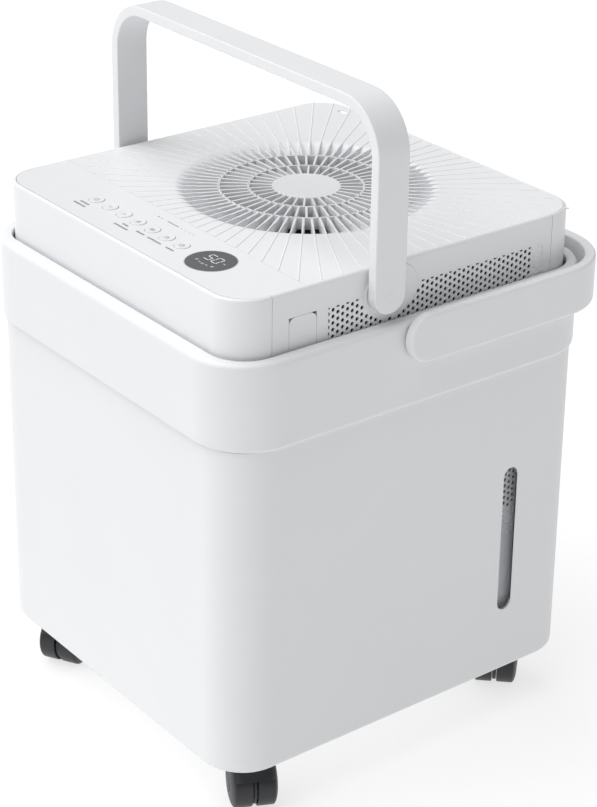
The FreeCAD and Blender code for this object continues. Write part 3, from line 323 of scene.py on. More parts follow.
places = {"front_left": (-1, -1), "front_right": (1, -1), "back_left": (-1, 1), "back_right": (1, 1)}
socket_low, socket_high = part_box("caster_sockets")
socket_radius = 0.00845
post_radius = 0.011
socket_centres = {
    place: ((socket_low.x + 0.0084 if x < 0 else socket_high.x - 0.0084),
            (socket_low.y + 0.0084 if y < 0 else socket_high.y - 0.0084))
    for place, (x, y) in places.items()
}
underside = [bucket_rings[0]] + [hole_ring(c, socket_radius, bucket_low.z) for c in socket_centres.values()]
bucket_parts = [
    lofted(bucket_rings, first_cap=False, skip={(outer_wall_row, facing_x), (inner_wall_row, facing_x)}),
    wall_panel(outer_wall_row, 0, (1, 0, 0)),
    wall_panel(inner_wall_row, wall, (-1, 0, 0)),
    lofted([window_ring(0, window_edge), window_ring(window_edge), window_ring(wall)], False, False),
    flat_sheet(underside, (0, 0, -1)),
]
for centre in socket_centres.values():
    top = socket_high.z
    bucket_parts.append(lofted([hole_ring(centre, socket_radius, top),
                                hole_ring(centre, socket_radius, bucket_low.z)], last_cap=False))
    bucket_parts.append(lofted([hole_ring(centre, post_radius, floor_top - 0.001),
                                hole_ring(centre, post_radius, top + 0.001),
                                hole_ring(centre, post_radius - 0.0005, top + 0.0015)], first_cap=False))
fitted(moulding("bucket_tank", joined(*bucket_parts), bucket_white), "bucket", "bucket_white", "bucket")


# ---------------------------------------------------------------------------
# Sight window, bail pins and caster sockets. The window is a clear acrylic lens
# welded into its slot; the pins are turned steel and the sockets nylon sleeves.
# ---------------------------------------------------------------------------

def clear_lens():
    """Clear acrylic, a little hazed inside, more so towards its foot."""
    made = bpy.data.materials.new("clear_lens")
    made.use_nodes = True
    n, link = made.node_tree.nodes, made.node_tree.links
    shader = n["Principled BSDF"]
    shader.inputs["Transmission Weight"].default_value = 1.0
    shader.inputs["IOR"].default_value = 1.2
    where = n.new("ShaderNodeTexCoord")
    split = n.new("ShaderNodeSeparateXYZ")
    link.new(where.outputs["Object"], split.inputs[0])
    haze = n.new("ShaderNodeMapRange")
    haze.inputs["From Min"].default_value = window_low.z
    haze.inputs["From Max"].default_value = window_high.z
    haze.inputs["To Min"].default_value = 0.30
    haze.inputs["To Max"].default_value = 0.02
    link.new(split.outputs["Z"], haze.inputs["Value"])
    link.new(haze.outputs["Result"], shader.inputs["Roughness"])
    tint = n.new("ShaderNodeMix")
    tint.data_type = "RGBA"
    tint.inputs["A"].default_value = (0.93, 0.94, 0.95, 1)
    tint.inputs["B"].default_value = (0.80, 0.82, 0.84, 1)
    link.new(haze.outputs["Result"], tint.inputs["Factor"])
    link.new(tint.outputs["Result"], shader.inputs["Base Color"])
    return made


def metal(name, colour, roughness, brushed=0.06):
    """Bare metal with fine drawing lines along Z and a broken gloss."""
    made = bpy.data.materials.new(name)
    made.use_nodes = True
    n, link = made.node_tree.nodes, made.node_tree.links
    shader = n["Principled BSDF"]
    shader.inputs["Metallic"].default_value = 1.0
    shader.inputs["Base Color"].default_value = (*colour, 1)
    where, place = n.new("ShaderNodeTexCoord"), n.new("ShaderNodeMapping")
    place.inputs["Scale"].default_value = (900, 900, 30)
    lines = n.new("ShaderNodeTexNoise")
    lines.inputs["Scale"].default_value = 1.0
    lines.inputs["Detail"].default_value = 4.0
    spread, bump = n.new("ShaderNodeMapRange"), n.new("ShaderNodeBump")
    spread.inputs["To Min"].default_value = roughness - brushed
    spread.inputs["To Max"].default_value = roughness + brushed
    bump.inputs["Strength"].default_value = 0.2
    bump.inputs["Distance"].default_value = 0.0001
    link.new(where.outputs["Object"], place.inputs["Vector"])
    link.new(place.outputs["Vector"], lines.inputs["Vector"])
    link.new(lines.outputs["Fac"], spread.inputs["Value"])
    link.new(spread.outputs["Result"], shader.inputs["Roughness"])
    link.new(lines.outputs["Fac"], bump.inputs["Height"])
    link.new(bump.outputs["Normal"], shader.inputs["Normal"])
    return made


def refinished(node, material):
    """A CAD node that keeps its shape and gets a fuller material."""
    slots = frame["nodes"][node].data.materials
    for index in range(len(slots)):
        slots[index] = material
    if not slots:
        slots.append(material)


pin_steel = metal("pin_steel", (0.62, 0.63, 0.65), 0.28)
socket_nylon = moulded_plastic("socket_nylon", (0.10, 0.10, 0.11), 0.5, grain_size=0.0004)
refinished("bucket_window", clear_lens())
refinished("bucket_handle_pins", pin_steel)
refinished("caster_sockets", socket_nylon)


# ---------------------------------------------------------------------------
# Bail of the bucket. A deep flat bow of the bucket's white plastic that lies
# folded back round the collar and turns on two pins. Its ends are fully round
# and every edge is softly rolled.
# ---------------------------------------------------------------------------

def bow_stations(half_span, reach, corner, steps=12):
    """Stations (along, across, distance, outward normal) of a U-shaped centre line.

    The line starts at across = 0 on the negative side, runs out to reach and
    comes back on the positive side.
    """
    straight = reach - corner
    bend = corner * math.pi / 2
    stations = [((-half_span, 0.0), 0.0, (-1.0, 0.0)), ((-half_span, straight), straight, (-1.0, 0.0))]
    for step in range(1, steps + 1):
        turn = math.pi - math.pi / 2 * step / steps
        stations.append(((-half_span + corner + corner * math.cos(turn), straight + corner * math.sin(turn)),
                         straight + bend * step / steps, (math.cos(turn), math.sin(turn))))
    top = 2 * (half_span - corner)
    base = straight + bend + top
    for step in range(steps + 1):
        turn = math.pi / 2 - math.pi / 2 * step / steps
        stations.append(((half_span - corner + corner * math.cos(turn), straight + corner * math.sin(turn)),
                         base + bend * step / steps, (math.cos(turn), math.sin(turn))))
    end = base + bend + straight
    stations.append(((half_span, 0.0), end, (1.0, 0.0)))
    return stations, end


def strap_bow(half_span, reach, corner, half_thick, half_width, edge, place, tip_steps=10, edge_steps=4):
    """Skin of a flat strap bent to a U, with round ends and rolled edges.

    half_span, reach and corner are those of its centre line; place carries
    (across, along, sideways) to the row's frame.
    """
    stations, end = bow_stations(half_span, reach, corner)

    def spot(distance, side, level):
        for (p, low, m), (q, high, k) in zip(stations, stations[1:]):
            if distance <= high + 1e-9:
                share = (distance - low) / (high - low)
                across = p[0] + (q[0] - p[0]) * share + (m[0] + (k[0] - m[0]) * share) * level
                along = p[1] + (q[1] - p[1]) * share + (m[1] + (k[1] - m[1]) * share) * level
                return place(across, along, side)

    inner = [distance for _, distance, _ in stations if half_width < distance < end - half_width]
    tips = [math.radians(90 * step / tip_steps) for step in range(-tip_steps, tip_steps + 1)]
    flat = half_thick - edge
    rings = []
    for middle_level, turns in ((-flat, quarter(edge_steps, -90, 0)), (flat, quarter(edge_steps, 0, 90))):
        for turn in turns:
            radius = half_width - edge * (1 - math.cos(turn))
            level = middle_level + edge * math.sin(turn)
            ring = [spot(half_width - radius * math.cos(t), radius * math.sin(t), level) for t in tips]
            ring += [spot(distance, radius, level) for distance in inner]
            ring += [spot(end - half_width + radius * math.cos(t), -radius * math.sin(t), level)
                     for t in tips]
            ring += [spot(distance, -radius, level) for distance in reversed(inner)]
            rings.append(ring)
    points, faces = lofted(rings, False, False)
    count, tip, run = len(rings[0]), tip_steps, len(inner)
    for start in (0, (len(rings) - 1) * count):
        left, right = [], []
        left += [tip - s for s in range(1, tip + 1)]
        right += [tip + s for s in range(1, tip + 1)]
        far = 2 * tip + 1 + run
        left += [count - 1 - s for s in range(run)]
        right += [2 * tip + 1 + s for s in range(run)]
        left += [far + 2 * tip - s for s in range(tip)]
        right += [far + s for s in range(tip)]
        faces.append(tuple(start + i for i in (tip, right[0], left[0])))
        faces.append(tuple(start + i for i in (left[-1], right[-1], far + tip)))
        for k in range(len(left) - 1):
            faces.append(tuple(start + i for i in (left[k], right[k], right[k + 1], left[k + 1])))
    return points, faces


def closed_moulding(name, skin, material, crease=32.0, weld=2e-6):
    """A closed piece whose faces are first turned to point outwards."""
    mesh = bpy.data.meshes.new("turning")
    mesh.from_pydata([tuple(p) for p in skin[0]], [], skin[1])
    work = bmesh.new()
    work.from_mesh(mesh)
    bmesh.ops.remove_doubles(work, verts=work.verts, dist=weld)
    bmesh.ops.recalc_face_normals(work, faces=work.faces)
    work.to_mesh(mesh)
    work.free()
    skin = ([tuple(v.co) for v in mesh.vertices], [tuple(p.vertices) for p in mesh.polygons])
    bpy.data.meshes.remove(mesh)
    return moulding(name, skin, material, crease, weld)


bail_low, bail_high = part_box("bucket_handle")
bail_thick = 0.009
bail_corner = 0.058
bail_mid_z = (bail_low.z + bail_high.z) / 2
bail_skin = strap_bow(
    half_span=(bail_high.x - bail_low.x - bail_thick) / 2,
    reach=bail_high.y - bail_low.y - bail_thick / 2,
    corner=bail_corner - bail_thick / 2,
    half_thick=bail_thick / 2,
    half_width=(bail_high.z - bail_low.z) / 2,
    edge=0.0024,
    place=lambda across, along, side: (middle_x + across, bail_low.y + along, bail_mid_z + side),
)
fitted(closed_moulding("bucket_bail", bail_skin, bucket_white), "bail", "bucket_white", "bucket_handle")


# ---------------------------------------------------------------------------
# Casing shells of the drying unit. Two white ABS walls wrap the front and the
# back corners; each has a rolled top edge and ends in an upright seam.
# ---------------------------------------------------------------------------

casing_white = moulded_plastic("casing_white", (0.80, 0.81, 0.825), 0.38, depth=0.06)
front_low, front_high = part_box("front_shell")
rear_low, rear_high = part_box("rear_shell")
unit_half_x = (front_high.x - front_low.x) / 2
unit_half_y = (rear_high.y - front_low.y) / 2
unit_y = (rear_high.y + front_low.y) / 2
unit_top = front_high.z
unit_corner = 0.031
casing_wall = 0.0025
top_round = 0.0025
seam_gap = 0.0002


def shell_stations(side, seam, steps=14):
    """Points (x, y, outward normal) along a shell's outer line, from seam to seam."""
    line = [(side * -unit_half_x, seam, (-side, 0.0))]
    for corner in range(2):
        centre = ((corner * 2 - 1) * side * (unit_half_x - unit_corner),
                  unit_y + side * (unit_half_y - unit_corner))
        for step in range(steps + 1):
            start = {(-1, 0): 0, (-1, 1): -90, (1, 0): 180, (1, 1): 90}[(side, corner)]
            turn = math.radians(start - 90 * step / steps)
            normal = (math.cos(turn), math.sin(turn))
            line.append((centre[0] + unit_corner * normal[0], centre[1] + unit_corner * normal[1], normal))
    line.append((side * unit_half_x, seam, (side, 0.0)))
    return line


def shell_profile(low, high):
    """Points (inset, height) round the wall's section, its outer top edge rolled."""
    rim = [(top_round * (1 - math.cos(t)), high - top_round * (1 - math.sin(t))) for t in quarter(6, 0, 85)]
    return [(0.0, low)] + rim + [(casing_wall, high - 0.0002), (casing_wall, low)]


def shell(side, seam, low, high):
    """A wall of one section swept round two corners, closed at both seams."""
    line = shell_stations(side, seam)
    profile = shell_profile(low, high)
    rings = [[(x - nx * inset, y - ny * inset, height) for inset, height in profile]
             for x, y, (nx, ny) in line]
    return lofted(rings)


front_skin = shell(-1, front_high.y - seam_gap, front_low.z, front_high.z)
rear_skin = shell(1, rear_low.y + seam_gap, rear_low.z, rear_high.z)
fitted(closed_moulding("shell_front", front_skin, casing_white), "unit", "casing_white", "front_shell")
fitted(closed_moulding("shell_rear", rear_skin, casing_white), "unit", "casing_white", "rear_shell")


# ---------------------------------------------------------------------------
# Perforated side panels. Each is a flat white wall with staggered round holes
# for the intake air, shallow blind dimples along two borders, and an oblong
# boss for the carry handle's pivot. The right one has the drain port's opening.
# A near-black sheet close behind the holes is painted shade that makes them read dark.
# ---------------------------------------------------------------------------

panel_low, panel_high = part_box("side_panel_right")
panel_face = unit_half_x
row_pitch = 0.00546
column_pitch = 0.00463
hole_radius = 0.0017
hole_depth = 0.0010
dimple_radius = 0.0015
boss_half_y, boss_half_z = 0.0257, 0.0193
boss_proud = 0.0012
boss_y = unit_y - 0.0264
boss_z = panel_low.z + 0.3706
boss_clear = 0.0028
boss_root, boss_roll = 0.0005, 0.0006
hole_taper, dimple_taper, dimple_depth = 0.94, 0.8, 0.0004
border_sink = 2e-5
field_overlap = 0.6
field_low_y = unit_y - 0.08692
field_columns = 48
field_rows = 48
field_top_z = panel_low.z + 0.37055
hole_last_y = unit_y + 0.119
hole_last_z = panel_low.z + 0.140


def hexagon_ring(radius, level, round_one):
    """Twelve points: a circle, or a hexagon with its sides halved."""
    ring = []
    for step in range(12):
        turn = math.radians(30 * step + 30)
        reach = radius if round_one or step % 2 == 0 else radius * math.cos(math.radians(30))
        across = 1.0 if round_one else column_pitch / (row_pitch * math.cos(math.radians(30)))
        turn += math.pi / 2
        ring.append((level, reach * across * math.cos(turn), reach * math.sin(turn)))
    return ring


def cell(name, kind):
    """One hexagon of the panel, facing +X: with a through hole, a dimple or plain."""
    edge = hexagon_ring(row_pitch / math.sqrt(3), 0.0, False)
    if kind == "plain":
        skin = lofted([edge], first_cap=False)
    elif kind == "dimple":
        skin = lofted([edge, hexagon_ring(dimple_radius, 0.0, True),
                       hexagon_ring(dimple_radius * dimple_taper, -dimple_depth, True)], first_cap=False)
    else:
        skin = lofted([edge, hexagon_ring(hole_radius, 0.0, True),
                       hexagon_ring(hole_radius * hole_taper, -hole_depth, True)], False, False)
    mesh = bpy.data.meshes.new(name)
    mesh.from_pydata(skin[0], [], skin[1])
    mesh.shade_smooth()
    mesh.set_sharp_from_angle(angle=math.radians(30))
    item = bpy.data.objects.new(name, mesh)
    bpy.context.scene.collection.objects.link(item)
    return item


def perforation_tree():
    """Staggered grid of cells on a plane: holes, dimples past two borders, plain round the boss."""
    tree = bpy.data.node_groups.new("perforated_panel", "GeometryNodeTree")
    socket(tree, "Geometry", "NodeSocketGeometry", output=True)
    for name in ("Hole Cell", "Dimple Cell", "Plain Cell"):
        socket(tree, name, "NodeSocketObject")
    for name in ("Columns", "Rows"):
        socket(tree, name, "NodeSocketInt", 10)
    for name in ("Row Pitch", "Column Pitch", "Face X", "Low Y", "Top Z", "Last Hole Y", "Last Hole Z",
                 "Boss Y", "Boss Z", "Boss Half", "Boss Radius", "Turn"):
        socket(tree, name, "NodeSocketFloat", 0.0)
    socket(tree, "Material", "NodeSocketMaterial")
    n, link = tree.nodes, tree.links
    start, end = n.new("NodeGroupInput"), n.new("NodeGroupOutput")

    def sum_up(operation, *values):
        node = n.new("ShaderNodeMath")
        node.operation = operation
        for place, value in enumerate(values):
            if isinstance(value, (int, float)):
                node.inputs[place].default_value = value
            else:
                link.new(value, node.inputs[place])
        return node.outputs[0]

    total = sum_up("MULTIPLY", start.outputs["Columns"], start.outputs["Rows"])
    line = n.new("GeometryNodeMeshLine")
    link.new(total, line.inputs["Count"])
    index = n.new("GeometryNodeInputIndex").outputs[0]
    column = sum_up("FLOOR", sum_up("DIVIDE", index, start.outputs["Rows"]))
    row = sum_up("SUBTRACT", index, sum_up("MULTIPLY", column, start.outputs["Rows"]))
    shift = sum_up("MULTIPLY", sum_up("MODULO", column, 2.0), 0.5)
    y = sum_up("ADD", start.outputs["Low Y"], sum_up("MULTIPLY", column, start.outputs["Column Pitch"]))
    z = sum_up("SUBTRACT", start.outputs["Top Z"],
               sum_up("MULTIPLY", sum_up("ADD", row, shift), start.outputs["Row Pitch"]))
    place = n.new("ShaderNodeCombineXYZ")
    for item, name in ((start.outputs["Face X"], "X"), (y, "Y"), (z, "Z")):
        link.new(item, place.inputs[name])
    points = n.new("GeometryNodeSetPosition")
    link.new(line.outputs["Mesh"], points.inputs["Geometry"])
    link.new(place.outputs[0], points.inputs["Position"])
    off_y = sum_up("SUBTRACT", y, start.outputs["Boss Y"])
    off_z = sum_up("SUBTRACT", z, start.outputs["Boss Z"])
    off_y = sum_up("MAXIMUM", sum_up("SUBTRACT", sum_up("ABSOLUTE", off_y), start.outputs["Boss Half"]), 0.0)
    away = sum_up("SQRT", sum_up("ADD", sum_up("MULTIPLY", off_y, off_y), sum_up("MULTIPLY", off_z, off_z)))
    free = sum_up("GREATER_THAN", away, start.outputs["Boss Radius"])
    inside = sum_up("MULTIPLY", sum_up("LESS_THAN", y, start.outputs["Last Hole Y"]),
                    sum_up("GREATER_THAN", z, start.outputs["Last Hole Z"]))
    holes = sum_up("MULTIPLY", free, inside)
    dimples = sum_up("MULTIPLY", free, sum_up("SUBTRACT", 1.0, inside))
    plain = sum_up("SUBTRACT", 1.0, free)
    turned = n.new("ShaderNodeCombineXYZ")
    link.new(start.outputs["Turn"], turned.inputs["Z"])
    whole = n.new("GeometryNodeJoinGeometry")
    for name, chosen in (("Hole Cell", holes), ("Dimple Cell", dimples), ("Plain Cell", plain)):
        shape = n.new("GeometryNodeObjectInfo")
        link.new(start.outputs[name], shape.inputs["Object"])
        copies = n.new("GeometryNodeInstanceOnPoints")
        link.new(points.outputs["Geometry"], copies.inputs["Points"])
        link.new(chosen, copies.inputs["Selection"])
        link.new(shape.outputs["Geometry"], copies.inputs["Instance"])
        link.new(turned.outputs[0], copies.inputs["Rotation"])
        link.new(copies.outputs["Instances"], whole.inputs["Geometry"])
    real = n.new("GeometryNodeRealizeInstances")
    paint = n.new("GeometryNodeSetMaterial")
    link.new(whole.outputs[0], real.inputs[0])
    link.new(real.outputs[0], paint.inputs["Geometry"])
    link.new(start.outputs["Material"], paint.inputs["Material"])
    link.new(paint.outputs[0], end.inputs[0])
    return tree


def grown(name, tree, **inputs):
    """A plain mesh object made by a Geometry Nodes tree with these inputs."""
    item = bpy.data.objects.new(name, bpy.data.meshes.new(name))
    bpy.context.scene.collection.objects.link(item)
    maker = item.modifiers.new("maker", "NODES")
    maker.node_group = tree
    names = {s.name.replace(" ", "_"): s.identifier for s in tree.interface.items_tree if s.in_out == "INPUT"}
    for key, value in inputs.items():
        maker[names[key]] = value
    return applied(item)


cells = [cell("cell_" + kind, kind) for kind in ("hole", "dimple", "plain")]
perforated_panel = perforation_tree()


def panel_wall(side, opening):
    """The panel's plain border and its back, with their openings, as one skin."""
    outer = side * panel_face
    inner = outer - side * casing_wall
    low_y, high_y = panel_low.y + seam_gap, panel_high.y - seam_gap
    low_z, high_z = panel_low.z, unit_top - top_round
    field_y = (field_low_y, field_low_y + column_pitch * (field_columns - 1))
    field_z = (field_top_z - row_pitch * (field_rows - field_overlap), field_top_z)
    field = [(field_y[0], field_z[0]), (field_y[1], field_z[0]),
             (field_y[1], field_z[1]), (field_y[0], field_z[1])]
    rim = [(low_y, low_z), (high_y, low_z), (high_y, high_z), (low_y, high_z)]
    face = outer - side * border_sink
    parts = [flat_sheet([[(face, y, z) for y, z in loop] for loop in [rim, field] + opening], (side, 0, 0)),
             flat_sheet([[(inner, y, z) for y, z in loop] for loop in [rim, field] + opening], (-side, 0, 0)),
             lofted([[(x, y, z) for y, z in rim] for x in sorted((face, inner))], False, False)]
    for loop in opening:
        levels = sorted((face, inner), reverse=True)
        parts.append(lofted([[(x, y, z) for y, z in loop] for x in levels], False, False))
    return joined(*parts)


def boss(side, steps=24):
    """Low boss with two round ends and a rolled edge, standing a little proud of the panel."""
    rings = []
    for inset, proud in ((0.0, -boss_root), (0.0, boss_proud - boss_roll),
                         (boss_roll / 3, boss_proud - boss_roll / 3), (boss_roll, boss_proud)):
        radius, ring = boss_half_z - inset, []
        for end in (1, -1):
            for step in range(steps + 1):
                turn = math.radians(-90 * end + 180 * step / steps)
                ring.append((side * (panel_face + proud),
                             boss_y + end * (boss_half_y - boss_half_z) + radius * math.cos(turn),
                             boss_z + radius * math.sin(turn)))
        rings.append(ring)
    return lofted(rings, first_cap=False)


port_low, port_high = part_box("drain_port_cover")
port_gap = 0.0003
port_y = (port_low.y - port_gap, port_high.y + port_gap)
port_z = (port_low.z - port_gap, port_high.z + port_gap)
port_opening = [(port_y[0], port_z[0]), (port_y[1], port_z[0]),
                (port_y[1], port_z[1]), (port_y[0], port_z[1])]
for side, word, opening in ((1, "right", [port_opening]), (-1, "left", [])):
    field = grown("panel_field_" + word, perforated_panel, Hole_Cell=cells[0], Dimple_Cell=cells[1],
                  Plain_Cell=cells[2], Columns=field_columns, Rows=field_rows, Row_Pitch=row_pitch,
                  Column_Pitch=column_pitch,
                  Face_X=side * panel_face, Low_Y=field_low_y, Top_Z=field_top_z, Last_Hole_Y=hole_last_y,
                  Last_Hole_Z=hole_last_z, Boss_Y=boss_y, Boss_Z=boss_z, Boss_Half=boss_half_y - boss_half_z,
                  Boss_Radius=boss_half_z + boss_clear,
                  Turn=0.0 if side > 0 else math.pi, Material=casing_white)
    fitted(field, "unit", "casing_white", "side_panel_" + word)
    border = moulding("panel_border_" + word, panel_wall(side, opening), casing_white)
    fitted(border, "unit", "casing_white")
    pad = closed_moulding("pivot_boss_" + word, boss(side), casing_white)
    fitted(pad, "unit", "casing_white")
for item in cells:
    bpy.data.objects.remove(item)

# Painted shade: a near-black sheet set just behind the holes, so that they read dark the way shade inside the
# unit would make them.
dust_cloth = moulded_plastic("dust_cloth", (0.012, 0.0125, 0.014), 0.9, grain_size=0.0011, depth=0.7)
shade_sheet_front, shade_sheet_back = 0.0013, 0.0019
shade_sheet_low_z, shade_sheet_high_z = hole_last_z - row_pitch, field_top_z + row_pitch
shade_sheet_rim = [(field_low_y - row_pitch, shade_sheet_low_z), (hole_last_y + row_pitch, shade_sheet_low_z),
             (hole_last_y + row_pitch, shade_sheet_high_z), (field_low_y - row_pitch, shade_sheet_high_z)]
for side, word in ((1, "right"), (-1, "left")):
    levels = (side * (panel_face - shade_sheet_back), side * (panel_face - shade_sheet_front))
    skin = lofted([[(x, y, z) for y, z in shade_sheet_rim] for x in levels])
    fitted(closed_moulding("dust_cloth_" + word, skin, dust_cloth), "unit", "filter_mesh")
refinished("drain_port_cover", casing_white)


# ---------------------------------------------------------------------------
# Top cover. One white ABS plate with a dished air outlet: thin ribs radiate
# from the hub through two rings and run on over the plate as fine raised
# lines. A thin joint line parts the plate from the smooth control strip.
# ---------------------------------------------------------------------------

fan_centre = (0.0, unit_y + 0.020)
plate_thick = 0.003
plate_half_x = unit_half_x - top_round
plate_gap = 0.00045
plate_half_y = unit_half_y - top_round - plate_gap
plate_corner = unit_corner - top_round
strip_line = unit_y - 0.107
strip_gap = 0.00012
groove_depth = 0.0004
mouth_radius = 0.090
rim_radius = 0.1085
dish_depth = 0.0075
grille_low = unit_top - 0.011
mouth_steps = 144
plate_under = unit_top - plate_thick
button_boxes = [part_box(f"button_{number}") for number in range(1, 8)]
button_centres = [((low.x + high.x) / 2, (low.y + high.y) / 2) for low, high in button_boxes]
button_hole = 0.0068
lens_low, lens_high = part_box("display_lens")
lens_centre = ((lens_low.x + lens_high.x) / 2, (lens_low.y + lens_high.y) / 2)
lens_radius = (lens_high.x - lens_low.x) / 2
lens_hole = lens_radius + 0.0002
notch_centre = (-0.127, unit_y + 0.1585)
notch_half = (0.0062, 0.0032)


def plate_outline():
    """The plate's outer loop, with points where the side edges start, stop and are crossed."""
    loop = [p[:2] for p in rounded_rectangle(plate_half_x, plate_half_y, plate_corner, 0.0, (0.0, unit_y))]
    stops = [panel_low.y + seam_gap, strip_line - strip_gap, strip_line + strip_gap, panel_high.y - seam_gap]
    right = [(plate_half_x, y) for y in stops]
    left = [(-plate_half_x, y) for y in reversed(stops)]
    return loop[:13] + right + loop[13:39] + left + loop[39:]


def oval(centre, half_x, half_y, height, steps=32):
    turns = [2 * math.pi * step / steps for step in range(steps)]
    return [(centre[0] + half_x * math.cos(t), centre[1] + half_y * math.sin(t), height) for t in turns]


outline = plate_outline()
strip_part = [p for p in outline[-17:] + outline[:15] if p[1] < strip_line]
plate_part = [p for p in outline if p[1] > strip_line]
right_start = min(i for i, p in enumerate(outline) if p[0] > 0 and abs(p[1] - panel_low.y - seam_gap) < 1e-9)


def level_loop(loop, height):
    return [(p[0], p[1], height) for p in loop]


button_rims = [hole_ring(centre, button_hole, 0.0, 40) for centre in button_centres]
lens_rim = hole_ring(lens_centre, lens_hole, 0.0, 64)
notch_rim = oval(notch_centre, *notch_half, 0.0)
mouth_rim = hole_ring(fan_centre, rim_radius, 0.0, mouth_steps)
cover_parts = [
    flat_sheet([level_loop(h, unit_top) for h in [strip_part] + button_rims + [lens_rim]], (0, 0, 1)),
    flat_sheet([level_loop(plate_part, unit_top)] + [level_loop(h, unit_top) for h in (mouth_rim, notch_rim)],
               (0, 0, 1)),
    flat_sheet([level_loop(outline, plate_under)]
               + [level_loop(h, plate_under) for h in button_rims + [lens_rim, mouth_rim]], (0, 0, -1)),
]
for rim in button_rims + [lens_rim]:
    cover_parts.append(lofted([level_loop(rim, unit_top), level_loop(rim, plate_under)], False, False))

groove = [(strip_line - strip_gap, unit_top), (strip_line - strip_gap, unit_top - groove_depth),
          (strip_line + strip_gap, unit_top - groove_depth), (strip_line + strip_gap, unit_top)]
for (y1, z1), (y2, z2) in zip(groove, groove[1:]):
    cover_parts.append(([(-plate_half_x, y1, z1), (plate_half_x, y1, z1),
                         (plate_half_x, y2, z2), (-plate_half_x, y2, z2)], [(0, 1, 2, 3)]))

sides_open = {(0, i) for i in range(right_start, right_start + 3)}
left_start = min(i for i, p in enumerate(outline) if p[0] < 0 and abs(p[1] - panel_high.y + seam_gap) < 1e-9)
sides_open |= {(0, i) for i in range(left_start, left_start + 3)}
cover_parts.append(lofted([level_loop(outline, plate_under), level_loop(outline, unit_top)],
                          False, False, sides_open))
for side, start in ((1, right_start), (-1, left_start)):
    stations = [outline[start + i][1] for i in range(4)]
    section = [(plate_half_x, plate_under)] + [(unit_half_x, plate_under)]
    section += [(unit_half_x - top_round * (1 - math.cos(t)), unit_top - top_round * (1 - math.sin(t)))
                for t in quarter(6, 0, 90)]
    rings = [[(side * x, y, z) for x, z in section] for y in stations]
    cover_parts.append(lofted(rings, skip={(row, len(section) - 1) for row in range(3)}))

dish = []
for step in range(9):
    share = step / 8
    radius = rim_radius + (mouth_radius - rim_radius) * share
    drop = dish_depth * (0.5 - 0.5 * math.cos(math.pi * share))
    dish.append(hole_ring(fan_centre, radius, unit_top - drop, mouth_steps))
dish.append(hole_ring(fan_centre, mouth_radius, grille_low, mouth_steps))
dish.append(hole_ring(fan_centre, mouth_radius + 0.002, grille_low, mouth_steps))
dish.append(hole_ring(fan_centre, mouth_radius + 0.002, unit_top - dish_depth - 0.002, mouth_steps))
dish.append(hole_ring(fan_centre, rim_radius, plate_under, mouth_steps))
cover_parts.append(lofted(dish, False, False))
notch_depth = 0.0022
bowl = [oval(notch_centre, notch_half[0] * math.cos(t), notch_half[1] * math.cos(t),
             unit_top - notch_depth * math.sin(t)) for t in quarter(6, 0, 84)]
cover_parts.append(lofted(bowl, False, True))
cover = closed_moulding("top_cover_plate", joined(*cover_parts), casing_white, crease=38)
fitted(cover, "unit", "casing_white", "top_cover")


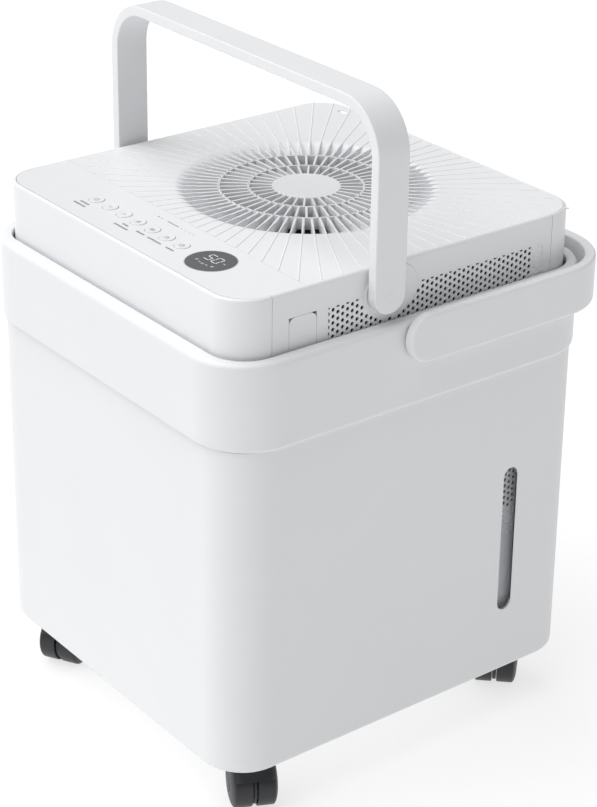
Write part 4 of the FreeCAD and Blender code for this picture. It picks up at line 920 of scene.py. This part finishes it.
def spoke_tree():
    """Radial ribs about an upright axis, each as long as a circle or a box lets it be."""
    tree = bpy.data.node_groups.new("radial_ribs", "GeometryNodeTree")
    socket(tree, "Geometry", "NodeSocketGeometry", output=True)
    socket(tree, "Count", "NodeSocketInt", 12)
    for name in ("Phase", "Centre X", "Centre Y", "Top Z", "Start", "End", "Width", "Height", "Edge",
                 "Half X", "Low Y", "High Y"):
        socket(tree, name, "NodeSocketFloat", 0.0)
    socket(tree, "Material", "NodeSocketMaterial")
    n, link = tree.nodes, tree.links
    start, end = n.new("NodeGroupInput"), n.new("NodeGroupOutput")

    def sum_up(operation, *values):
        node = n.new("ShaderNodeMath")
        node.operation = operation
        for place, value in enumerate(values):
            if isinstance(value, (int, float)):
                node.inputs[place].default_value = value
            else:
                link.new(value, node.inputs[place])
        return node.outputs[0]

    o = start.outputs
    line = n.new("GeometryNodeMeshLine")
    link.new(o["Count"], line.inputs["Count"])
    index = n.new("GeometryNodeInputIndex").outputs[0]
    turn = sum_up("ADD", o["Phase"], sum_up("MULTIPLY", index, sum_up("DIVIDE", 2 * math.pi, o["Count"])))
    cosine, sine = sum_up("COSINE", turn), sum_up("SINE", turn)
    across = sum_up("DIVIDE", o["Half X"], sum_up("MAXIMUM", sum_up("ABSOLUTE", cosine), 1e-4))
    ahead = sum_up("DIVIDE", sum_up("SUBTRACT", o["High Y"], o["Centre Y"]), sum_up("MAXIMUM", sine, 1e-4))
    behind = sum_up("DIVIDE", sum_up("SUBTRACT", o["Centre Y"], o["Low Y"]),
                    sum_up("MAXIMUM", sum_up("MULTIPLY", sine, -1.0), 1e-4))
    reach = sum_up("MINIMUM", o["End"], sum_up("MINIMUM", across, sum_up("MINIMUM", ahead, behind)))
    length = sum_up("SUBTRACT", reach, o["Start"])
    place = n.new("ShaderNodeCombineXYZ")
    link.new(sum_up("ADD", o["Centre X"], sum_up("MULTIPLY", cosine, o["Start"])), place.inputs["X"])
    link.new(sum_up("ADD", o["Centre Y"], sum_up("MULTIPLY", sine, o["Start"])), place.inputs["Y"])
    link.new(sum_up("SUBTRACT", o["Top Z"], sum_up("MULTIPLY", o["Height"], 0.5)), place.inputs["Z"])
    points = n.new("GeometryNodeSetPosition")
    link.new(line.outputs["Mesh"], points.inputs["Geometry"])
    link.new(place.outputs[0], points.inputs["Position"])
    run = n.new("GeometryNodeCurvePrimitiveLine")
    run.inputs["Start"].default_value = (0, 0, 0)
    run.inputs["End"].default_value = (1, 0, 0)
    section = n.new("GeometryNodeCurvePrimitiveQuadrilateral")
    link.new(o["Width"], section.inputs["Width"])
    link.new(o["Height"], section.inputs["Height"])
    rounded = n.new("GeometryNodeFilletCurve")
    rounded.mode = "POLY"
    rounded.inputs["Count"].default_value = 3
    link.new(section.outputs[0], rounded.inputs["Curve"])
    link.new(o["Edge"], rounded.inputs["Radius"])
    rib = n.new("GeometryNodeCurveToMesh")
    rib.inputs["Fill Caps"].default_value = True
    link.new(run.outputs[0], rib.inputs["Curve"])
    link.new(rounded.outputs[0], rib.inputs["Profile Curve"])
    copies = n.new("GeometryNodeInstanceOnPoints")
    link.new(points.outputs["Geometry"], copies.inputs["Points"])
    link.new(rib.outputs[0], copies.inputs["Instance"])
    turned, sized = n.new("ShaderNodeCombineXYZ"), n.new("ShaderNodeCombineXYZ")
    link.new(turn, turned.inputs["Z"])
    link.new(length, sized.inputs["X"])
    sized.inputs["Y"].default_value = 1.0
    sized.inputs["Z"].default_value = 1.0
    link.new(turned.outputs[0], copies.inputs["Rotation"])
    link.new(sized.outputs[0], copies.inputs["Scale"])
    real, paint = n.new("GeometryNodeRealizeInstances"), n.new("GeometryNodeSetMaterial")
    link.new(copies.outputs["Instances"], real.inputs[0])
    link.new(real.outputs[0], paint.inputs["Geometry"])
    link.new(o["Material"], paint.inputs["Material"])
    link.new(paint.outputs[0], end.inputs[0])
    return tree


radial_ribs = spoke_tree()
rib_edge = 0.00035
rib_proud = 0.00012
line_proud = 0.00042
hub_radius = 0.0285
ring_radii = (0.0476, 0.0720)
ring_half = 0.0009
wide = 1.0
bands = (
    ("grille_ribs_inner", 32, 151.2, hub_radius - 0.001, ring_radii[0], 0.0018, 0.0100, rib_proud),
    ("grille_ribs_middle", 50, 149.7, ring_radii[0], ring_radii[1], 0.0020, 0.0100, rib_proud),
    ("grille_ribs_outer", 72, 0.7, ring_radii[1], mouth_radius + 0.001, 0.0022, 0.0105, rib_proud),
    ("grille_ribs_dish", 72, 0.7, mouth_radius + 0.0005, rim_radius - 0.001, 0.0014, 0.0078, line_proud),
    ("cover_ribs_plate", 72, 0.7, rim_radius - 0.0015, wide, 0.0010, 0.0014, line_proud),
)
for name, count, phase, start, end, width, height, proud in bands:
    ribs = grown(name, radial_ribs, Count=count, Phase=math.radians(phase), Centre_X=fan_centre[0],
                 Centre_Y=fan_centre[1], Top_Z=unit_top + proud, Start=start, End=end, Width=width,
                 Height=height, Edge=min(rib_edge, width * 0.45), Half_X=plate_half_x - 0.0006,
                 Low_Y=strip_line + 0.0004, High_Y=panel_high.y + 0.0270, Material=casing_white)
    fitted(smoothed(ribs, 40), "unit", "casing_white")


def turned_ring(centre, profile, steps=96):
    """A closed ring from a closed section of (radius, height) points."""
    turns = [2 * math.pi * s / steps for s in range(steps)]
    rings = [[(centre[0] + r * math.cos(t), centre[1] + r * math.sin(t), z) for r, z in profile]
             for t in turns]
    points, faces = lofted(rings, False, False)
    count = len(profile)
    last = (steps - 1) * count
    for side in range(count):
        after = (side + 1) % count
        faces.append((last + side, last + after, after, side))
    return points, faces


def turned_disc(centre, profile, steps=96):
    """A turned solid from (radius, height) points, bottom to top, its ends closed flat."""
    return lofted([hole_ring(centre, r, z, steps) for r, z in profile])


def ring_section(radius, low, high):
    e = 0.0004
    return [(radius - ring_half, low), (radius + ring_half, low), (radius + ring_half, high - e),
            (radius + ring_half - e * 0.3, high - e * 0.3), (radius + ring_half - e, high),
            (radius - ring_half + e, high), (radius - ring_half + e * 0.3, high - e * 0.3),
            (radius - ring_half, high - e)]


rings = joined(*[turned_ring(fan_centre, ring_section(r, grille_low + 0.001, unit_top + rib_proud))
                 for r in ring_radii])
fitted(closed_moulding("grille_rings", rings, casing_white), "unit", "casing_white")
dome = 0.0003
hub_profile = [(hub_radius, unit_top - 0.008)]
hub_profile += [(hub_radius - 0.0008 * (1 - math.cos(t)), unit_top - 0.0008 * (1 - math.sin(t)))
                for t in quarter(4, 0, 80)]
hub_profile += [(hub_radius * s, unit_top + dome * (1 - s * s)) for s in (0.8, 0.55, 0.3, 0.1)]
hub = closed_moulding("grille_hub", turned_disc(fan_centre, hub_profile, 72), casing_white)
fitted(hub, "unit", "casing_white")


# ---------------------------------------------------------------------------
# Keys. Seven round white caps with a fine raised ring, printed with small grey
# signs. The plate carries printed dashes in front of them and a row of small
# marks behind.
# ---------------------------------------------------------------------------

key_white = moulded_plastic("key_white", (0.80, 0.81, 0.825), 0.34, depth=0.04)
print_grey = moulded_plastic("print_grey", (0.10, 0.103, 0.11), 0.5, depth=0.05)
print_height = 0.00004
key_round = 0.0005


def stroke(points, width, height, closed=False):
    """Flat printed line of one width along points (x, y)."""
    run = [Vector(p) for p in points]
    if closed:
        run = run + run[:2]
    skins = []
    for a, b in zip(run, run[1:]):
        way = (b - a).normalized()
        side = Vector((-way.y, way.x)) * width / 2
        a, b = a - way * width * 0.3, b + way * width * 0.3
        skins.append(([(p.x, p.y, height) for p in (a - side, b - side, b + side, a + side)], [(0, 1, 2, 3)]))
    return joined(*skins)


def arc(centre, radius, first, last, steps=16):
    turns = [math.radians(first + (last - first) * step / steps) for step in range(steps + 1)]
    return [(centre[0] + radius * math.cos(t), centre[1] + radius * math.sin(t)) for t in turns]


def key_sign(number, x, y, height):
    """A plain sign for each key, drawn with strokes about the key's centre."""
    w = 0.00034

    def at(*points):
        return [(x + px / 1000, y + py / 1000) for px, py in points]

    petals = [math.pi / 2, math.pi * 7 / 6, math.pi * 11 / 6]
    signs = {
        1: [(arc((x, y), 0.0021, 120, 420), w), (at((0, 0.4), (0, 2.6)), w)],
        2: [(at((-1.7, 0.8), (0, -0.9), (1.7, 0.8)), w)],
        3: [(at((-1.7, -0.8), (0, 0.9), (1.7, -0.8)), w)],
        4: [(arc((x, y), 0.0005, 0, 360, 8), w)] + [
            (arc((x + 0.0012 * math.cos(t), y + 0.0012 * math.sin(t)), 0.0009,
                 math.degrees(t) - 90, math.degrees(t) + 90, 8), w) for t in petals],
        5: [(at((-2.1, -1.4), (2.1, -1.4), (2.1, 1.4), (-2.1, 1.4), (-2.1, -1.4)), w),
            (at((-1.1, 0.3), (1.1, 0.3)), w), (at((-1.1, -0.5), (0.5, -0.5)), w)],
        6: [(at((-1.6, -1.6), (1.6, -1.6), (1.6, 0.4), (-1.6, 0.4), (-1.6, -1.6)), w),
            (arc((x, y + 0.0004), 0.0011, 0, 180, 8), w)],
        7: [(arc((x, y), 0.0021, 0, 360), w), (at((0, 1.3), (0, 0), (1.0, -0.4)), w)],
    }
    return joined(*[stroke(points, width, height) for points, width in signs[number]])


for number, ((low, high), centre) in enumerate(zip(button_boxes, button_centres), start=1):
    radius = 0.0064
    profile = [(0.0078, plate_under - 0.0016), (0.0078, plate_under - 0.0002),
               (radius, plate_under - 0.0002)]
    profile += [(radius - key_round * (1 - math.cos(t)), high.z - key_round * (1 - math.sin(t)))
                for t in quarter(4, 0, 90)]
    profile += [(radius - 0.00095, high.z), (radius - 0.0011, high.z - 0.0001),
                (radius - 0.0013, high.z - 0.00014), (0.0030, high.z - 0.00022)]
    fitted(closed_moulding(f"key_{number}_cap", turned_disc(centre, profile, 48), key_white),
           f"button_{number}_cap", "button_white", f"button_{number}")
    sign = key_sign(number, *centre, high.z - 0.00012)
    fitted(moulding(f"key_{number}_sign", sign, print_grey, weld=1e-7),
           f"button_{number}_cap", "button_white")


def dashes(x, y, widths, tall, gap):
    """A printed line of short blocks, centred on x."""
    total = sum(widths) + gap * (len(widths) - 1)
    left, level, skins = x - total / 2, unit_top + print_height, []
    for wide_one in widths:
        block = [(left, y, level), (left + wide_one, y, level),
                 (left + wide_one, y + tall, level), (left, y + tall, level)]
        skins.append((block, [(0, 1, 2, 3)]))
        left += wide_one + gap
    return joined(*skins)


letter, letter_gap, letter_tall = 0.0011, 0.0006, 0.0020
label_line, line_step = unit_y - 0.1499, 0.0049
label_lines = ((0, -0.0722, label_line, 8), (0, -0.0724, label_line - line_step, 11),
               (3, -0.0130, label_line, 5), (3, -0.0124, label_line - line_step, 12),
               (4, 0.0077, label_line, 7), (5, 0.0270, label_line, 12), (6, 0.0480, label_line, 7))
printed = []
for key, x, y, count in label_lines:
    widths = [letter * (0.7, 1.0, 1.2, 0.9, 0.6)[(i * 3 + key) % 5] for i in range(count)]
    printed.append(dashes(x, y, widths, letter_tall, letter_gap))
row_y = unit_y - 0.1183
for x, widths in ((-0.0191, (0.0005,)), (-0.0125, (0.0016,)), (-0.0080, (0.0006, 0.0006)),
                  (0.0075, (0.0013, 0.0009, 0.0012, 0.0010, 0.0013, 0.0008, 0.0011, 0.0010, 0.0009)),
                  (0.0189, (0.0006,)), (0.0247, (0.0005,)), (0.0302, (0.0007,)), (0.0346, (0.0006,))):
    printed.append(dashes(x, row_y, widths, 0.0012, 0.0006))
fitted(moulding("strip_printing", joined(*printed), print_grey, weld=1e-7), "unit", "casing_white")


# ---------------------------------------------------------------------------
# Humidity display. A smoked acrylic disc in a fine light rim, with two lit
# seven-segment digits and a short row of lit marks below its surface.
# ---------------------------------------------------------------------------

display_smoke = moulded_plastic("display_smoke", (0.085, 0.088, 0.094), 0.22, depth=0.0, sheen=0.6)
rim_silver = moulded_plastic("rim_silver", (0.62, 0.63, 0.65), 0.25, depth=0.0)
digit_light = bpy.data.materials.new("digit_light")
digit_light.use_nodes = True


def lit_print(material):
    """White printing that glows a little, unevenly, as a lit film does."""
    n, link = material.node_tree.nodes, material.node_tree.links
    shader = n["Principled BSDF"]
    where, cloud, spread = n.new("ShaderNodeTexCoord"), n.new("ShaderNodeTexNoise"), n.new("ShaderNodeMix")
    cloud.inputs["Scale"].default_value = 900
    spread.data_type = "RGBA"
    spread.inputs["A"].default_value = (0.62, 0.65, 0.68, 1)
    spread.inputs["B"].default_value = (0.92, 0.94, 0.96, 1)
    link.new(where.outputs["Object"], cloud.inputs["Vector"])
    link.new(cloud.outputs["Fac"], spread.inputs["Factor"])
    link.new(spread.outputs["Result"], shader.inputs["Base Color"])
    link.new(spread.outputs["Result"], shader.inputs["Emission Color"])
    shader.inputs["Emission Strength"].default_value = 0.25


lit_print(digit_light)
disc_profile = [(lens_radius - 0.0004, lens_low.z), (lens_radius - 0.0004, lens_high.z - 0.0003),
                (lens_radius - 0.0007, lens_high.z - 0.00008), (lens_radius - 0.0011, lens_high.z),
                (lens_radius * 0.5, lens_high.z)]
fitted(closed_moulding("display_disc", turned_disc(lens_centre, disc_profile, 96), display_smoke),
       "unit", "display_smoke", "display_lens")
rim_profile = [(lens_radius - 0.0004, unit_top - 0.001), (lens_radius, unit_top - 0.001),
               (lens_radius, lens_high.z - 0.0001), (lens_radius - 0.0002, lens_high.z),
               (lens_radius - 0.0004, lens_high.z - 0.0001)]
rim = closed_moulding("display_rim", turned_ring(lens_centre, rim_profile), rim_silver)
fitted(rim, "unit", "display_smoke")

segments = {"top": ((-1, 2), (1, 2)), "middle": ((-1, 0), (1, 0)), "bottom": ((-1, -2), (1, -2)),
            "upper_left": ((-1, 2), (-1, 0)), "upper_right": ((1, 2), (1, 0)),
            "lower_left": ((-1, 0), (-1, -2)), "lower_right": ((1, 0), (1, -2))}
digits = {"5": ("top", "middle", "bottom", "upper_left", "lower_right"),
          "0": ("top", "bottom", "upper_left", "upper_right", "lower_left", "lower_right")}
digit_half = (0.0030, 0.0024)
digit_y = lens_centre[1] + 0.004
bar_end = 0.00055
lit = []
lit_height = lens_high.z + print_height
for x, digit in ((-0.0060, "5"), (0.0030, "0")):
    for name in digits[digit]:
        (x1, y1), (x2, y2) = segments[name]
        way = Vector((x2 - x1, y2 - y1)).normalized() * bar_end
        start = Vector((lens_centre[0] + x + x1 * digit_half[0], digit_y + y1 * digit_half[1])) + way
        end = Vector((lens_centre[0] + x + x2 * digit_half[0], digit_y + y2 * digit_half[1])) - way
        lit.append(stroke([start, end], 0.0007, lit_height))
for x, y, shape in ((-0.0095, -0.0065, "ring"), (-0.0045, -0.0078, "bar"), (0.0, -0.0082, "ring"),
                    (0.0045, -0.0078, "bar"), (0.0095, -0.0060, "ring"), (0.0115, 0.0040, "bar")):
    centre = (lens_centre[0] + x, lens_centre[1] + y)
    if shape == "ring":
        points = arc(centre, 0.0010, 0, 360, 12)
    else:
        points = [(centre[0] + along, centre[1] + aside)
                  for along, aside in ((-0.0013, -0.0004), (0.0, 0.0006), (0.0013, -0.0004))]
    lit.append(stroke(points, 0.0004, lit_height))
fitted(moulding("display_figures", joined(*lit), digit_light, weld=1e-7), "unit", "display_smoke")


# ---------------------------------------------------------------------------
# Carry handle. A flat strap of white ABS bent to a bow, with round feet, rolled
# edges and a small round screw cap over each pivot.
# ---------------------------------------------------------------------------

handle_low, handle_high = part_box("carry_handle")
handle_thick = 0.0088
handle_corner = 0.043
handle_mid_y = (handle_low.y + handle_high.y) / 2
handle_half_x = (handle_high.x - handle_low.x) / 2
handle_skin = strap_bow(
    half_span=handle_half_x - handle_thick / 2,
    reach=handle_high.z - handle_low.z - handle_thick / 2,
    corner=handle_corner - handle_thick / 2,
    half_thick=handle_thick / 2,
    half_width=(handle_high.y - handle_low.y) / 2,
    edge=0.0009,
    place=lambda across, along, side: (across, handle_mid_y + side, handle_low.z + along),
)
bow = closed_moulding("carry_handle_bow", handle_skin, casing_white)
fitted(bow, "handle", "casing_white", "carry_handle")
pivot = joints["handle_fold"]["pos_m"]
cap_radius = 0.0033
cap_proud = 0.00022
cap_profile = [(cap_radius, -0.0006), (cap_radius, 0.00014), (cap_radius - 0.00012, cap_proud),
               (cap_radius - 0.00050, cap_proud), (cap_radius - 0.00062, 0.00014),
               (cap_radius - 0.00066, 0.00005)]


def sideways_disc(profile, centre, side, steps=48):
    """A disc turned about X: a ring of points for each (radius, height off the face)."""
    turns = [2 * math.pi * step / steps for step in range(steps)]
    return lofted([[(side * (handle_half_x + height), centre[1] + radius * math.cos(t),
                     centre[2] + radius * math.sin(t)) for t in turns] for radius, height in profile])


for side, word in ((1, "right"), (-1, "left")):
    cap = closed_moulding("screw_cap_" + word, sideways_disc(cap_profile, pivot, side), casing_white)
    fitted(cap, "handle", "casing_white")


# ---------------------------------------------------------------------------
# Casters. Each is a black nylon hood, moulded in one with its swivel seat and
# stem, over two domed nylon wheels that run free on a pressed-in steel axle.
# ---------------------------------------------------------------------------

caster_black = moulded_plastic("caster_black", (0.020, 0.021, 0.024), 0.46, grain_size=0.0006,
                               depth=0.35, tint=0.15)
wheel_black = moulded_plastic("wheel_black", (0.017, 0.018, 0.021), 0.42, grain_size=0.0008,
                              depth=0.55, tint=0.15)
wheel_radius = 0.022
wheel_half_pair = 0.020
wheel_inner = 0.0020
shoulder = 0.0152
cap_edge = 0.0078
axle_bore = 0.00305
bore_end = 0.0173
fender_inner, fender_outer = 0.0228, 0.0244
fender_half = 0.0160
fender_flat = 0.0105
web_half, web_radius = 0.0016, 0.0200
seat_top = 0.0497
stem_top = 0.0605


def caster_frame(place):
    """Maps (along, across, height) at a caster to the row's frame; along starts at the stem."""
    stem = Vector(joints[f"caster_{place}_swivel"]["pos_m"])
    hub = Vector(joints[f"wheel_{place}_near_roll"]["pos_m"])
    across = Vector(joints[f"wheel_{place}_near_roll"]["axis"])
    along = Vector((across.y, -across.x, 0))
    trail = (hub - stem).dot(along)

    def spot(forward, sideways, height):
        point = stem + along * forward + across * sideways
        return (point.x, point.y, height)
    return spot, trail


def wheel_profile():
    """Points (radius, distance from the pair's middle) from the blind bore out to the face's centre."""
    points = [(0.0004, bore_end), (axle_bore, bore_end), (axle_bore, wheel_inner), (0.0085, wheel_inner),
              (0.0088, wheel_inner + 0.0025), (0.0195, wheel_inner + 0.0025), (0.0198, wheel_inner + 0.0003),
              (wheel_radius - 0.0009, wheel_inner), (wheel_radius - 0.0003, wheel_inner + 0.0003),
              (wheel_radius, wheel_inner + 0.0010)]
    face = wheel_half_pair - 0.0004
    for turn in quarter(9, 0, 82):
        points.append((cap_edge + (wheel_radius - cap_edge) * math.cos(turn),
                       shoulder + (face - shoulder) * math.sin(turn)))
    points += [(cap_edge + 0.0006, face), (cap_edge + 0.0002, face - 0.0006),
               (cap_edge - 0.0002, face - 0.0006), (cap_edge - 0.0005, face),
               (cap_edge - 0.0018, wheel_half_pair - 0.0001), (0.0030, wheel_half_pair),
               (0.0004, wheel_half_pair)]
    return points


def caster_wheel(spot, trail, side, steps=64):
    turns = [2 * math.pi * step / steps for step in range(steps)]
    return lofted([[spot(trail + radius * math.cos(t), side * distance, wheel_radius + radius * math.sin(t))
                    for t in turns] for radius, distance in wheel_profile()])


def fender_section():
    """Closed section (across, radius) of the hood's skin: flat over the treads, turned down at both sides."""
    lower, upper = [], []
    for step in range(-8, 9):
        across = fender_half * step / 8
        sink = 150.0 * max(0.0, abs(across) - fender_flat) ** 2 * 0.5
        rounding = 0.0004 if abs(step) == 8 else 0.0
        lower.append((across, fender_inner - sink + rounding))
        upper.append((across, fender_outer - sink - rounding))
    return lower + upper[::-1]


def caster_hood(spot, trail, steps=26):
    """Hood skin, web between the wheels, rib, swivel seat and stem, as closed skins."""
    section = fender_section()
    sweep = []
    for step in range(steps + 1):
        turn = math.radians(28 + 124 * step / steps)
        sweep.append([spot(trail + radius * math.cos(turn), across, wheel_radius + radius * math.sin(turn))
                      for across, radius in section])
    turns = [2 * math.pi * step / 48 for step in range(48)]
    web = [[spot(trail + radius * math.cos(t), across, wheel_radius + radius * math.sin(t)) for t in turns]
           for radius, across in ((web_radius - 0.0008, -web_half), (web_radius, -web_half + 0.0005),
                                  (web_radius, web_half - 0.0005), (web_radius - 0.0008, web_half))]
    rib = [[spot(forward, across, height) for forward, across in
            ((-0.0090, -web_half), (trail, -web_half), (trail, web_half), (-0.0090, web_half))]
           for height in (wheel_radius + 0.012, wheel_radius + 0.0216)]
    stem_turns = turns[::2]
    seat_profile = [(0.0094, 0.0432), (0.0088, 0.0455), (0.0081, 0.0472), (0.0080, seat_top - 0.0003),
                    (0.0077, seat_top), (0.0050, seat_top), (0.0050, 0.0568), (0.0047, 0.0570),
                    (0.0047, 0.0578), (0.0050, 0.0580), (0.0050, stem_top - 0.0010), (0.0040, stem_top)]
    seat = [[spot(radius * math.cos(t), radius * math.sin(t), height) for t in stem_turns]
            for radius, height in seat_profile]
    return joined(*[lofted(loops) for loops in (sweep, web, rib, seat)])


for place in places:
    spot, trail = caster_frame(place)
    hood = closed_moulding(f"caster_hood_{place}_body", caster_hood(spot, trail), caster_black, crease=38)
    fitted(hood, f"caster_{place}", "caster_black", f"caster_hood_{place}")
    refinished(f"caster_axle_{place}", pin_steel)
    for word, side in (("near", -1), ("far", 1)):
        wheel = closed_moulding(f"caster_wheel_{place}_{word}_body", caster_wheel(spot, trail, side),
                                wheel_black, 38)
        fitted(wheel, f"wheel_{place}_{word}", "caster_black", f"caster_wheel_{place}_{word}")


# ---------------------------------------------------------------------------
# Inside the unit. Fan, motor and shroud, the refrigerating circuit, boards,
# filters, tray, pump, float and base keep their made shapes.
# ---------------------------------------------------------------------------

filter_mesh = moulded_plastic("filter_mesh", (0.025, 0.026, 0.028), 0.8, grain_size=0.0009, depth=0.8)
fan_grey = moulded_plastic("fan_grey", (0.05, 0.052, 0.056), 0.5)
box_grey = moulded_plastic("box_grey", (0.20, 0.21, 0.22), 0.5)
rubber_black = moulded_plastic("rubber_black", (0.02, 0.02, 0.022), 0.75, grain_size=0.0004, depth=0.3)
board_green = moulded_plastic("board_green", (0.02, 0.14, 0.06), 0.35, grain_size=0.002, depth=0.2, tint=0.2)
compressor_paint = moulded_plastic("compressor_paint", (0.012, 0.012, 0.013), 0.3,
                                   grain_size=0.0015, depth=0.2)
hose_clear = moulded_plastic("hose_clear", (0.62, 0.64, 0.62), 0.3)
pan_steel = metal("pan_steel", (0.55, 0.56, 0.57), 0.45)
coil_aluminium = metal("coil_aluminium", (0.72, 0.73, 0.74), 0.38)
line_copper = metal("line_copper", (0.72, 0.34, 0.20), 0.3)
motor_steel = metal("motor_steel", (0.50, 0.51, 0.52), 0.42)
inner_finishes = {
    filter_mesh: ("air_filter_left", "air_filter_right"),
    fan_grey: ("fan_wheel", "fan_shroud", "float_switch"),
    box_grey: ("electronics_box", "drain_tray", "float", "drain_pump"),
    rubber_black: ("compressor_grommets", "base_feet", "cord_gland"),
    board_green: ("control_board", "main_board"),
    compressor_paint: ("compressor", "run_capacitor"),
    hose_clear: ("drain_hose",),
    pan_steel: ("base_pan",),
    coil_aluminium: ("evaporator", "condenser"),
    line_copper: ("refrigerant_lines",),
    motor_steel: ("fan_motor",),
    pin_steel: ("shell_screws", "carry_handle_pins"),
}
for material, nodes in inner_finishes.items():
    for node in nodes:
        refinished(node, material)


# ---------------------------------------------------------------------------
# Studio. A plain pale floor that glows like a light table, one broad soft light
# from the upper front, and the camera.
# ---------------------------------------------------------------------------

def floor_white():
    """Matt sweep, lit from below like a light table, with a barely visible unevenness."""
    made = bpy.data.materials.new("floor_white")
    made.use_nodes = True
    n, link = made.node_tree.nodes, made.node_tree.links
    shader = n["Principled BSDF"]
    shader.inputs["Roughness"].default_value = 0.9
    shader.inputs["Specular IOR Level"].default_value = 0.1
    where, cloud, tint = n.new("ShaderNodeTexCoord"), n.new("ShaderNodeTexNoise"), n.new("ShaderNodeMix")
    cloud.inputs["Scale"].default_value = 3.0
    tint.data_type = "RGBA"
    tint.inputs["A"].default_value = (0.31, 0.31, 0.31, 1)
    tint.inputs["B"].default_value = (0.34, 0.34, 0.34, 1)
    shader.inputs["Emission Color"].default_value = (1.0, 1.0, 1.0, 1)
    shader.inputs["Emission Strength"].default_value = 0.70
    link.new(where.outputs["Object"], cloud.inputs["Vector"])
    link.new(cloud.outputs["Fac"], tint.inputs["Factor"])
    link.new(tint.outputs["Result"], shader.inputs["Base Color"])
    return made


floor_mesh = bpy.data.meshes.new("studio_floor")
floor_half = 12.0
floor_corners = [(x * floor_half, y * floor_half, 0) for x, y in ((-1, -1), (1, -1), (1, 1), (-1, 1))]
floor_mesh.from_pydata(floor_corners, [], [(0, 1, 2, 3)])
floor_mesh.materials.append(floor_white())
floor = bpy.data.objects.new("studio_floor", floor_mesh)
bpy.context.scene.collection.objects.link(floor)

world = bpy.data.worlds.new("studio")
bpy.context.scene.world = world
world.use_nodes = True
world.node_tree.nodes["Background"].inputs["Color"].default_value = (1.0, 1.0, 1.0, 1)
world.node_tree.nodes["Background"].inputs["Strength"].default_value = 0.36
bpy.context.scene.view_settings.view_transform = "Standard"

sky = bpy.data.lights.new("overhead_light", "SUN")
sky.energy = 2.75
sky.angle = math.radians(75)
sky.color = (1.0, 1.0, 1.0)
sky_item = bpy.data.objects.new("overhead_light", sky)
sky_item.rotation_mode = "QUATERNION"
sky_item.rotation_quaternion = Vector((0.30, 0.44, -0.90)).to_track_quat("-Z", "Y")
bpy.context.scene.collection.objects.link(sky_item)

camera = bpy.data.cameras.new("camera")
camera.lens = 101.95
camera.sensor_width = 36.0
camera.shift_y = -0.1239
camera.clip_start, camera.clip_end = 0.05, 60
camera_item = bpy.data.objects.new("camera", camera)
azimuth, elevation, roll = math.radians(52.29), math.radians(23.77), math.radians(0.776)
level = math.cos(elevation)
back = Vector((math.sin(azimuth) * level, -math.cos(azimuth) * level, math.sin(elevation)))
right = Vector((math.cos(azimuth), math.sin(azimuth), 0))
up = back.cross(right)
right, up = right * math.cos(roll) + up * math.sin(roll), up * math.cos(roll) - right * math.sin(roll)
turn = Matrix((right, up, back)).transposed().to_4x4()
camera_place = (1.3857, -1.06565, 1.1243)
camera_item.matrix_world = Matrix.Translation(camera_place) @ turn
bpy.context.scene.collection.objects.link(camera_item)
bpy.context.scene.camera = camera_item
